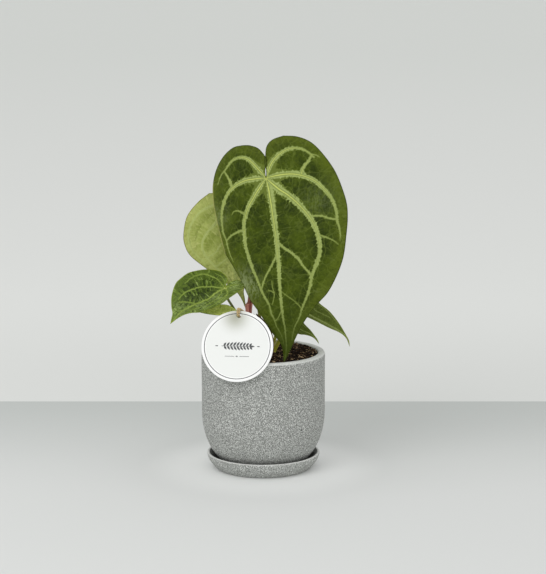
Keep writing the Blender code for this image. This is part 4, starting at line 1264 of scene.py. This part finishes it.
def make_red_sheath():
    """A ribbed sleeve round the tallest stalk. Its mouth is cut at a slant, with a lobe at the right."""
    stalk = stalk_line(STALKS["petiole_main"])
    foot = STALK_START - SHEATH_ROOT
    angles = ring_angles(SHEATH_SIDES)

    def wall(radius, drop):
        share = np.linspace(0, 1, SHEATH_RINGS)[:, None]
        mouth = SHEATH_TOP - drop + SHEATH_SLANT * np.cos(angles - 0.3) + 0.5 * np.cos(3 * angles)
        level = foot + share * (mouth - foot)
        flutes = 0.1 * np.cos(9 * angles) + 0.06 * np.cos(17 * angles + 6 * share)
        lip = SHEATH_LIP * smoothstep(share, 0.9, 1.0) * (1 + 0.5 * np.cos(2 * angles))
        waist = -SHEATH_WAIST * np.sin(pi * share) + 0.5 * (1 - share) ** 3
        around = radius + flutes + lip + waist
        x = np.interp(level, stalk[:, 2], stalk[:, 0]) + around * np.cos(angles)
        y = np.interp(level, stalk[:, 2], stalk[:, 1]) + around * np.sin(angles)
        return np.stack([x, y, level], axis=2)

    outer = wall(SHEATH_RADIUS - 0.25, 0.0)
    inner = wall(SHEATH_BORE - 0.1, 0.35)[::-1]
    points = np.concatenate([outer, inner]).reshape(-1, 3)
    faces = grid_faces(2 * SHEATH_RINGS, SHEATH_SIDES, wrap_rows=True, wrap_columns=True)
    paint = sheath_paint()
    piece = add_piece("cataphyll_red_sheath", points, faces, "cataphyll_red", (paint,))
    share = np.concatenate([np.linspace(0, 1, SHEATH_RINGS), np.linspace(1, 0, SHEATH_RINGS)])
    angle = np.tile(angles, 2 * SHEATH_RINGS)
    height = np.repeat(share * (SHEATH_TOP - STALK_START), SHEATH_SIDES)
    skin = np.column_stack([SHEATH_SKIN * np.cos(angle), SHEATH_SKIN * np.sin(angle), height])
    set_attribute(piece, "along", np.repeat(share, SHEATH_SIDES))
    set_attribute(piece, "around", skin)


def make_brown_bract():
    """A dry scale: a thin strip, curled about its length, that narrows to a ragged point."""
    rows, columns = BRACT_ROWS, BRACT_COLUMNS
    route = smooth_curve(BRACT_ROUTE, rows)
    shares = np.linspace(0, 1, rows)
    across = np.linspace(-1, 1, columns)
    widths = np.interp(shares, np.linspace(0, 1, len(BRACT_HALF_WIDTHS)), BRACT_HALF_WIDTHS)
    widths *= 1 + BRACT_RAGGED * rumple(np.column_stack([shares * 30, shares]), 3.0, 2.0)
    ahead = unit(np.gradient(route, axis=0))
    side = unit(np.cross(ahead, (0, 1, 0)))
    face = np.cross(side, ahead)
    crimp = rumple(np.column_stack([np.repeat(shares * 40, columns), np.tile(across * 4, rows)]), 3.0, 2.0)
    depth = BRACT_CRIMP * crimp.reshape(rows, columns) - BRACT_CURL * across ** 2 * widths[:, None]
    strip = route[:, None] + side[:, None] * (across * widths[:, None])[..., None]
    points = np.concatenate([
        (strip + face[:, None] * (depth + level * BRACT_HALF_THICKNESS)[..., None]).reshape(-1, 3)
        for level in (1, -1)])
    lower = rows * columns
    faces = grid_faces(rows, columns) + grid_faces(rows, columns, first=lower)
    grid = np.arange(lower).reshape(rows, columns)
    edge = np.concatenate([grid[:, 0], grid[-1, 1:], grid[-2::-1, -1], grid[0, -2:0:-1]]).tolist()
    for here, following in zip(edge, edge[1:] + edge[:1]):
        faces.append((here, following, lower + following, lower + here))
    piece = add_piece("cataphyll_brown_bract", points, faces, "cataphyll_brown",
                      (bract_paint(),))
    sides = np.tile(across, 2 * rows)
    along = np.tile(np.repeat(shares * BRACT_LENGTH, columns), 2)
    set_attribute(piece, "side", sides)
    set_attribute(piece, "around", np.column_stack([sides * 3, np.zeros(len(sides)), along]))


def make_crown():
    """The short stem: a knobbly oval stump with stepped leaf scars, half sunk in the soil."""
    sides, rings = CROWN_SIDES, CROWN_RINGS
    angles = ring_angles(sides)
    share = np.linspace(0, 1, rings)[:, None]
    foot = SOIL_TOP - CROWN_DEPTH
    scars, scar_depth = CROWN_SCARS
    lump_size, lump_height = CROWN_LUMPS
    level = foot + share * (CROWN_TOP + 0.6 - foot) + 0 * angles
    steps = scar_depth * np.sin(share * scars * tau + 2 * np.cos(angles))
    size = CROWN_CORE * (1.0 + steps) * (1 - 0.3 * smoothstep(share, 0.7, 1.0))
    x = CROWN_HALF_LENGTH * size * np.cos(angles)
    y = CROWN_HALF_WIDTH * size * np.sin(angles)
    points = np.stack([x, y, level], axis=2).reshape(-1, 3)
    lumps = rumple(points, lump_size, 3.0)[:, None] * lump_height
    points = points + unit(points * (1, 1.6, 0)) * lumps
    top_rings = []
    for inward in (0.8, 0.5, 0.22):
        ring = points[-sides:] * (inward, inward, 1)
        ring[:, 2] = CROWN_TOP + 0.9 - inward * 0.3 + 0.8 * rumple(ring, 4.0, 2.0)
        top_rings.append(ring)
    points = np.vstack([points, *top_rings, [[0, 0, CROWN_TOP + 0.8]], [[0, 0, foot]]])
    faces = grid_faces(rings + 3, sides, wrap_columns=True)
    faces += cap_faces(len(points) - 2, (rings + 2) * sides, sides) + cap_faces(len(points) - 1, 0, sides)
    add_piece("stem_base_crown", points, faces, "stem_base", (crown_paint(),))


# Pot, saucer and soil

def foot_curve(inset, steps):
    """The pot's rounded foot from the wall down to the base, or the one inside the pot, inset from there."""
    flat_edge = POT_BASE_RADIUS
    bottom = POT_BASE
    top = POT_CORNER_TOP
    if inset > 0:
        flat_edge -= FLOOR_INSET
        bottom += POT_FLOOR + inset - POT_WALL
        top += CORNER_RISE
    return quarter((flat_edge, top), POT_RADIUS - inset - flat_edge, top - bottom, 0, -90, steps)


def make_pot(paint):
    """The cup, hand-finished: its wall and rim waver by a few tenths of a millimetre."""
    inner = POT_RADIUS - POT_WALL
    outer_lip = quarter((POT_RADIUS - RIM_OUTER_ROUND, POT_TOP - RIM_OUTER_ROUND),
                        RIM_OUTER_ROUND, RIM_OUTER_ROUND, 90, 0, 9)
    inner_lip = quarter((inner + RIM_INNER_ROUND, POT_TOP - RIM_INNER_ROUND),
                        RIM_INNER_ROUND, RIM_INNER_ROUND, 180, 90, 8)
    drain = [(DRAIN_RADIUS, POT_BASE), (DRAIN_RADIUS, POT_BASE + POT_FLOOR)]
    outline = outer_lip + foot_curve(0.0, 40) + drain + foot_curve(POT_WALL, 30)[::-1] + inner_lip
    points, faces = turned(spaced(outline, 2.2), CLAY_SIDES)
    waver(points, 0.22)
    add_piece("pot_cup", points, faces, "pot", (paint,))


def waver(points, amount):
    """Moves clay points in or out a little, as a thrown and glazed wall does."""
    shift = amount * (rumple(points, 45.0, 1.0) + 0.35 * rumple(points, 9.0, 2.0))
    radius = np.hypot(points[:, 0], points[:, 1])
    points[:, 0] *= 1 + shift / radius
    points[:, 1] *= 1 + shift / radius


def make_saucer(paint):
    """The dish. Its turned outline closes just short of the axis."""
    half_lip = SAUCER_LIP / 2
    foot = quarter((SAUCER_FOOT_RADIUS, SAUCER_FOOT_ROUND), SAUCER_FOOT_ROUND, SAUCER_FOOT_ROUND, -90, -40, 5)
    lip = quarter((SAUCER_RADIUS - half_lip, SAUCER_HEIGHT - SAUCER_LIP_ROUND), half_lip, SAUCER_LIP_ROUND,
                  0, 190, 16)
    wall = smooth_curve([foot[-1], *SAUCER_WALL, lip[0]], 12)[1:-1].tolist()
    cove_width, cove_height = SAUCER_COVE
    floor = [(SAUCER_WELL_RADIUS + cove_width, SAUCER_FLOOR + cove_height),
             (SAUCER_WELL_RADIUS, SAUCER_FLOOR)]
    middle = [(0.5, SAUCER_FLOOR), (0.5, 0.0)]
    points, faces = turned(spaced(foot + wall + lip + floor + middle, 2.4), CLAY_SIDES)
    waver(points, 0.15)
    add_piece("saucer_dish", points, faces, "saucer", (paint,))


def make_soil(paint):
    """The mix: a lumpy bed, with bark chips and fibres heaped on it."""
    rng = np.random.default_rng(CHIP_SEED)
    bed, faces = soil_bed()
    # the bed takes the darkest tone: partly the peat's own, partly painted shade in the gaps between the
    # chips
    points, tones = [bed], [np.full(len(bed), 0.1)]
    count = len(bed)
    for index in range(CHIP_COUNT + FIBRE_COUNT):
        fibre = index >= CHIP_COUNT
        chip = soil_chip(rng, fibre)
        faces += grid_faces(len(chip) // CHIP_SIDES, CHIP_SIDES, wrap_columns=True, first=count)
        for end in (count, count + len(chip) - CHIP_SIDES):
            faces.append(tuple(range(end, end + CHIP_SIDES)))
        points.append(chip)
        pale = rng.uniform() < (PALE_FIBRES if fibre else PALE_CHIPS)
        tones.append(np.full(len(chip), 1.0 if pale else 0.84 * rng.beta(1.5, 1.9)))
        count += len(chip)
    piece = add_piece("soil_mix", np.vstack(points), faces, "soil", (paint,))
    piece.data.set_sharp_from_angle(angle=radians(35))
    set_attribute(piece, "tone", np.concatenate(tones))


def soil_level(x, y):
    """The height of the loose, lumpy top of the soil at a place."""
    size, height = SOIL_LUMPS
    return SOIL_TOP + SOIL_HEAP + height * noise.noise(Vector((x / size, y / size, 0.3)))


def soil_bed():
    """Points and faces of the bed: a top of rings round its middle, a straight side and a flat foot."""
    sides, rings = 120, 34
    angles = ring_angles(sides)
    size, height = SOIL_CRUMBS
    foot = SOIL_TOP - SOIL_DEPTH
    points = [(0.0, 0.0, soil_level(0, 0) - BED_DROP)]
    for ring in range(1, rings + 1):
        radius = SOIL_RADIUS * ring / rings
        for angle in angles:
            x, y = radius * cos(angle), radius * sin(angle)
            crumbs = height * noise.noise(Vector((x / size, y / size, 4.0)))
            points.append((x, y, soil_level(x, y) - BED_DROP + crumbs))
    points += [(SOIL_RADIUS * cos(angle), SOIL_RADIUS * sin(angle), foot) for angle in angles]
    points.append((0.0, 0.0, foot))
    faces = grid_faces(rings + 1, sides, wrap_columns=True, first=1)
    faces += cap_faces(0, 1, sides) + cap_faces(len(points) - 1, 1 + rings * sides, sides)
    return np.array(points), faces


def soil_chip(rng, fibre):
    """One splinter of bark or one fibre: a bent, tapering five-sided stick lying about flat."""
    if fibre:
        length = rng.uniform(*FIBRE_LENGTH)
        wide = flat = rng.uniform(*FIBRE_RADIUS)
    else:
        length = rng.gamma(*CHIP_LENGTH)
        wide = min(CHIP_WIDEST, length * rng.uniform(*CHIP_HALF_WIDTH))
        flat = wide * rng.uniform(*CHIP_FLATNESS)
    reach = (SOIL_RADIUS - length / 2 - 0.3) * np.sqrt(rng.uniform(0, 1))
    place_angle, heading = rng.uniform(0, tau, 2)
    tilt, roll = rng.normal(0, CHIP_TILT), 0.2 * rng.uniform(0, tau)
    x, y = reach * cos(place_angle), reach * sin(place_angle)
    ahead = np.array((cos(heading) * cos(tilt), sin(heading) * cos(tilt), sin(tilt)))
    side = np.array((-sin(heading), cos(heading), 0))
    up = np.cross(ahead, side)
    side, up = side * cos(roll) + up * sin(roll), up * cos(roll) - side * sin(roll)
    middle = np.array((x, y, soil_level(x, y) + rng.uniform(-1.2, 0.5)))
    rows = 5 if fibre else 3
    bend = rng.normal(0, 0.12) * length
    angles = ring_angles(CHIP_SIDES)
    rings = []
    for share in np.linspace(-0.5, 0.5, rows):
        fat = (1 - 1.2 * abs(share)) * rng.uniform(0.8, 1.15, CHIP_SIDES)
        centre = middle + ahead * share * length + side * bend * (1 - 4 * share * share)
        rings.append(centre + np.outer(fat * wide * np.cos(angles), side)
                     + np.outer(fat * flat * np.sin(angles), up))
    return np.vstack(rings)


# Tag and twine

def tag_frame():
    """The tag's axes (right, up, out of its front) and its centre, from its lean on the rim."""
    lean, turn = radians(TAG_LEAN), radians(TAG_TURN)
    out = np.array((-sin(turn) * cos(lean), -cos(turn) * cos(lean), sin(lean)))
    right = np.array((cos(turn), -sin(turn), 0.0))
    up = np.cross(out, right)
    rim_reach = cos(lean) * (POT_RADIUS - RIM_OUTER_ROUND) + sin(lean) * (POT_TOP - RIM_OUTER_ROUND)
    plane = rim_reach + RIM_OUTER_ROUND + TAG_GAP + TAG_THICKNESS / 2
    x, z = TAG_CENTRE
    y = (plane - out[0] * x - out[2] * z) / out[1]
    return right, up, out, np.array((x, y, z))


def on_tag(across, height, forward):
    right, up, out, centre = tag_frame()
    return centre + right * across + up * height + out * forward


def make_tag():
    """A round card with soft cut edges and a punched hole: rings from the hole out to the edge and back."""
    right, up, out, centre = tag_frame()
    sides, half = 160, TAG_THICKNESS / 2
    angles = ring_angles(sides)
    ways = np.stack([np.cos(angles), np.sin(angles)], axis=1)
    hole = np.array(TAG_HOLE)
    profile = [(0.0, -half + 0.15), (0.0, half - 0.15), (0.005, half)]
    profile += [(share, half) for share in np.linspace(0.03, 0.97, 26)]
    profile += [(0.994, half), (1.0, half - 0.2), (1.0, -half + 0.2), (0.994, -half)]
    profile += [(share, -half) for share in np.linspace(0.95, 0.05, 12)] + [(0.005, -half)]
    points, flat_spots = [], []
    for share, height in profile:
        spots = (hole + ways * TAG_HOLE_RADIUS) * (1 - share) + ways * TAG_RADIUS * share
        points.append(centre + spots[:, :1] * right + spots[:, 1:] * up + height * out)
        flat_spots.append(np.column_stack([spots, np.zeros(sides)]))
    points = np.vstack(points)
    faces = grid_faces(len(profile), sides, wrap_rows=True, wrap_columns=True)
    piece = add_piece("tag_card", points, faces, "tag", (card_paint(),))
    set_attribute(piece, "spot", np.vstack(flat_spots))
    piece.data.set_sharp_from_angle(angle=radians(50))


def printed(name, shapes, ink):
    """Flat printed shapes on the tag's face, each a closed film whose back lies in the card."""
    points, faces = [], []
    face_height = TAG_THICKNESS / 2
    for outline, triangles in shapes:
        first = len(points)
        corners = len(outline)
        for height in (face_height + PRINT_LIFT, face_height - PRINT_LIFT):
            points += [on_tag(across, up, height) for across, up in outline]
        for part in triangles:
            faces.append(tuple(first + corner for corner in part))
            faces.append(tuple(first + corners + corner for corner in part[::-1]))
        for start, end in boundary(triangles):
            faces.append((first + start, first + end, first + corners + end, first + corners + start))
    add_piece(name, points, faces, None, (ink,))


def boundary(parts):
    """The edges that belong to one face only."""
    edges = [(a, b) for part in parts for a, b in zip(part, [*part[1:], part[0]])]
    return [(a, b) for a, b in edges if (b, a) not in edges]


def ring_shape(radius, width, sides=144):
    inner = [(radius * cos(tau * k / sides), radius * sin(tau * k / sides)) for k in range(sides)]
    outer = [(x * (1 + width / radius), y * (1 + width / radius)) for x, y in inner]
    quads = [(k, sides + k, sides + (k + 1) % sides, (k + 1) % sides) for k in range(sides)]
    return inner + outer, quads


def leaflet_shape(foot, length, width, heading):
    """A pointed oval that starts at its foot."""
    ahead = np.array((cos(radians(heading)), sin(radians(heading))))
    side = np.array((-ahead[1], ahead[0]))
    shares = np.linspace(0, 1, 9)
    half = width / 2 * np.sin(pi * shares ** 0.8)
    right_side = [np.array(foot) + ahead * length * s - side * h for s, h in zip(shares, half)]
    left_side = [np.array(foot) + ahead * length * s + side * h for s, h in zip(shares, half)]
    outline = [tuple(point) for point in right_side + left_side[-2:0:-1]]
    return outline, [tuple(range(len(outline)))]


def bar_shape(start, end, width):
    start, end = np.array(start), np.array(end)
    ahead = (end - start) / np.linalg.norm(end - start)
    side = np.array((-ahead[1], ahead[0])) * width / 2
    return [tuple(start - side), tuple(end - side), tuple(end + side), tuple(start + side)], [(0, 1, 2, 3)]


def make_print():
    """A fine ring near the edge, a plain leafy sprig between two dashes, and a short rule under it."""
    dark = ink_paint("ink_dark", (52, 54, 56))
    grey = ink_paint("ink_grey", (128, 130, 130))
    printed("tag_ring", [ring_shape(*PRINT_RING)], dark)
    sprig = [bar_shape(*SPRIG_STEM)]
    for pair in range(SPRIG_PAIRS):
        foot = SPRIG_FIRST + SPRIG_STEP * pair
        size = 5.4 - 0.35 * abs(pair - 3.5)
        sprig.append(leaflet_shape((foot, 0.25), size, LEAFLET_WIDTH, LEAFLET_TURN))
        sprig.append(leaflet_shape((foot + 0.5, -0.25), size, LEAFLET_WIDTH, -LEAFLET_TURN))
    sprig.append(leaflet_shape((12.8, 0.0), 4.6, 1.9, 0))
    printed("tag_sprig", sprig + [bar_shape(*dash) for dash in DASHES], dark)
    diamond = leaflet_shape((-1.3, -10.2), 2.6, 1.3, 0)
    printed("tag_rule", [bar_shape(*bar) for bar in RULE_BARS] + [diamond], grey)


def make_twine():
    """A held loop through the hole, over the card's edge and round the red sheath, a hitch and a knot.

    Each is two plies wound round each other.
    """
    clear = TAG_THICKNESS / 2 + TAG_GAP + TWINE_RADIUS
    bend = SHEATH_RADIUS + 1.5 * TAG_GAP + TWINE_RADIUS + 0.15
    x, y = SHEATH_FOOT
    over_edge = TAG_RADIUS + TAG_GAP + TWINE_RADIUS
    in_front = [on_tag(0.4, 31.0, 0), on_tag(0.5, 31.3, clear + 0.3), on_tag(0.8, 34.4, clear + 0.4),
                on_tag(1.2, over_edge + 0.3, clear - 0.8), on_tag(2.0, over_edge + 0.2, -1.2)]
    round_sheath = [(-16, -22, 162.6), (x + bend - 0.6, y - 7, 157.6), (x + bend, y, 156.9),
                    (x + 3.4, y + 3.6, 156.8), (x, y + bend, 156.8), (x - 3.4, y + 3.6, 157),
                    (x - bend, y, 157.3), (x - bend - 0.3, y - 7, 158), (-21, -22, 158.6)]
    behind = [on_tag(0.3, 30.8, -6.5), on_tag(0.3, 30.9, -2.5)]
    hitch = [on_tag(-0.4, 30.6, 0.2), on_tag(-0.8, 31.2, 1.9), on_tag(-1.0, 34.4, 2.2),
             on_tag(-0.6, 37.3, 1.3), on_tag(0.2, 37.6, -1.2), on_tag(0.0, 34.5, -2.4),
             on_tag(-0.4, 31.2, -2.0)]
    knot = [on_tag(0.1 + 1.3 * cos(angle), 37.2 + 0.3 * sin(2 * angle), 0.4 + 1.5 * sin(angle))
            for angle in np.linspace(0, tau, 8, endpoint=False)]
    points, faces, around = [], [], []
    for route, turns, count in ((in_front + round_sheath + behind, 34, 560), (hitch, 6, 110), (knot, 3, 60)):
        line = smooth_curve(np.array(route, float), count, closed=True)
        for ply in range(2):
            add_ply(line, turns, pi * ply, points, faces, around)
    piece = add_piece("tag_twine_loop", np.vstack(points), faces, "tag_twine", (jute(),))
    set_attribute(piece, "around", np.vstack(around))


def add_ply(line, turns, start, points, faces, around):
    """One ply: a closed tube that winds round the line a whole number of times."""
    count = len(line)
    ahead = unit(np.roll(line, -1, axis=0) - np.roll(line, 1, axis=0))
    first = unit(np.cross(ahead, (0.13, 0.31, 0.94)))
    second = np.cross(ahead, first)
    wind = start + tau * turns * np.arange(count) / count
    centre = line + PLY_WIND * (first * np.cos(wind)[:, None] + second * np.sin(wind)[:, None])
    angles = ring_angles(PLY_SIDES)
    fuzz = 1 + 0.1 * np.cos(3 * angles[None] + 2.3 * wind[:, None])
    ring = PLY_RADIUS * fuzz[..., None] * (first[:, None] * np.cos(angles)[:, None]
                                           + second[:, None] * np.sin(angles)[:, None])
    base = sum(len(part) for part in points)
    points.append((centre[:, None] + ring).reshape(-1, 3))
    faces += grid_faces(count, PLY_SIDES, wrap_rows=True, wrap_columns=True, first=base)
    twist = angles[None] - 1.5 * wind[:, None]
    length = path_length(line)
    along = np.repeat(np.linspace(0, length, count)[:, None], PLY_SIDES, axis=1)
    around.append(np.stack([np.cos(twist), np.sin(twist), along], axis=2).reshape(-1, 3))


# Stage

def make_floor():
    """A wide pale floor, a little lighter from a straight line behind the pot on, as a wall would be."""
    paint = Paint("floor_pale", roughness=0.9, specular=0.1)
    place = paint.place()
    depth = paint.part(place, "Y")
    grain = paint.noise(place, 900.0, 2.0)
    # painted shade: the floor in front darkens towards the line behind the pot
    near = paint.mix(paint.fade(depth, -0.12, 0.33), (213, 215, 213), (190, 194, 191))
    # painted light: a lighter pool on the floor round the saucer, against the shade the pot casts there
    near = paint.mix(paint.fade(paint.length(place), 0.13, 0.06), near, (230, 232, 230))
    # painted light on the far part that stands for a wall: brighter just behind the line, dimmer far off
    far = paint.mix(paint.fade(depth, 0.28, 0.95), (219, 221, 218), (228, 230, 227))
    far = paint.mix(paint.fade(depth, 1.2, 7.0), far, (223, 226, 222))
    tone = paint.mix(paint.fade(depth, *(edge * MM for edge in FLOOR_BACK_EDGE)), near, far)
    tone = paint.over(tone, (160, 160, 160), grain, 0.04)
    mesh = bpy.data.meshes.new("floor")
    reach = FLOOR_REACH * MM
    mesh.from_pydata([(-reach, -reach, 0), (reach, -reach, 0), (reach, reach, 0), (-reach, reach, 0)],
                     [], [(0, 1, 2, 3)])
    mesh.materials.append(paint.finish(tone))
    floor = bpy.data.objects.new("floor", mesh)
    bpy.context.collection.objects.link(floor)


def make_light():
    """Soft studio light: a bright sky all round, a wide lamp high at the left and a weaker one in front."""
    world = bpy.data.worlds.new("studio")
    bpy.context.scene.world = world
    world.use_nodes = True
    sky = world.node_tree.nodes["Background"]
    sky.inputs["Color"].default_value = (1.0, 1.0, 1.0, 1.0)
    sky.inputs["Strength"].default_value = SKY_STRENGTH
    for name, (place, width, watts) in LAMPS.items():
        light = bpy.data.lights.new(name, "AREA")
        light.shape = "DISK"
        light.size = width * MM
        light.energy = watts
        lamp = bpy.data.objects.new(name, light)
        lamp.location = Vector(place) * MM
        lamp.rotation_euler = (Vector(LIGHT_AIM) - Vector(place)).to_track_quat("-Z", "Y").to_euler()
        bpy.context.collection.objects.link(lamp)


def make_camera():
    data = bpy.data.cameras.new("camera")
    data.sensor_width = SENSOR
    data.lens = CAMERA_LENS
    camera = bpy.data.objects.new("camera", data)
    camera.location = Vector(CAMERA_PLACE) * MM
    camera.rotation_euler = (radians(90 - CAMERA_TILT), 0, 0)
    bpy.context.collection.objects.link(camera)
    bpy.context.scene.camera = camera


def main():
    make_camera()
    make_light()
    make_floor()
    # the saucer's tones are lifted more than the pot's (9 against 3): painted light on its downward-facing
    # wall
    make_saucer(stoneware("stoneware_saucer", 9, SAUCER_HEIGHT, SAUCER_RIM_HIGHLIGHT, SAUCER_PAINTED_SHADE))
    make_pot(stoneware("stoneware_pot", 3, POT_TOP, POT_PLAIN_RIM))
    make_soil(potting_mix())
    make_crown()
    make_stalks()
    make_blades()
    make_red_sheath()
    make_brown_bract()
    make_tag()
    make_print()
    make_twine()
    bpy.context.scene.view_settings.view_transform = "Standard"


main()
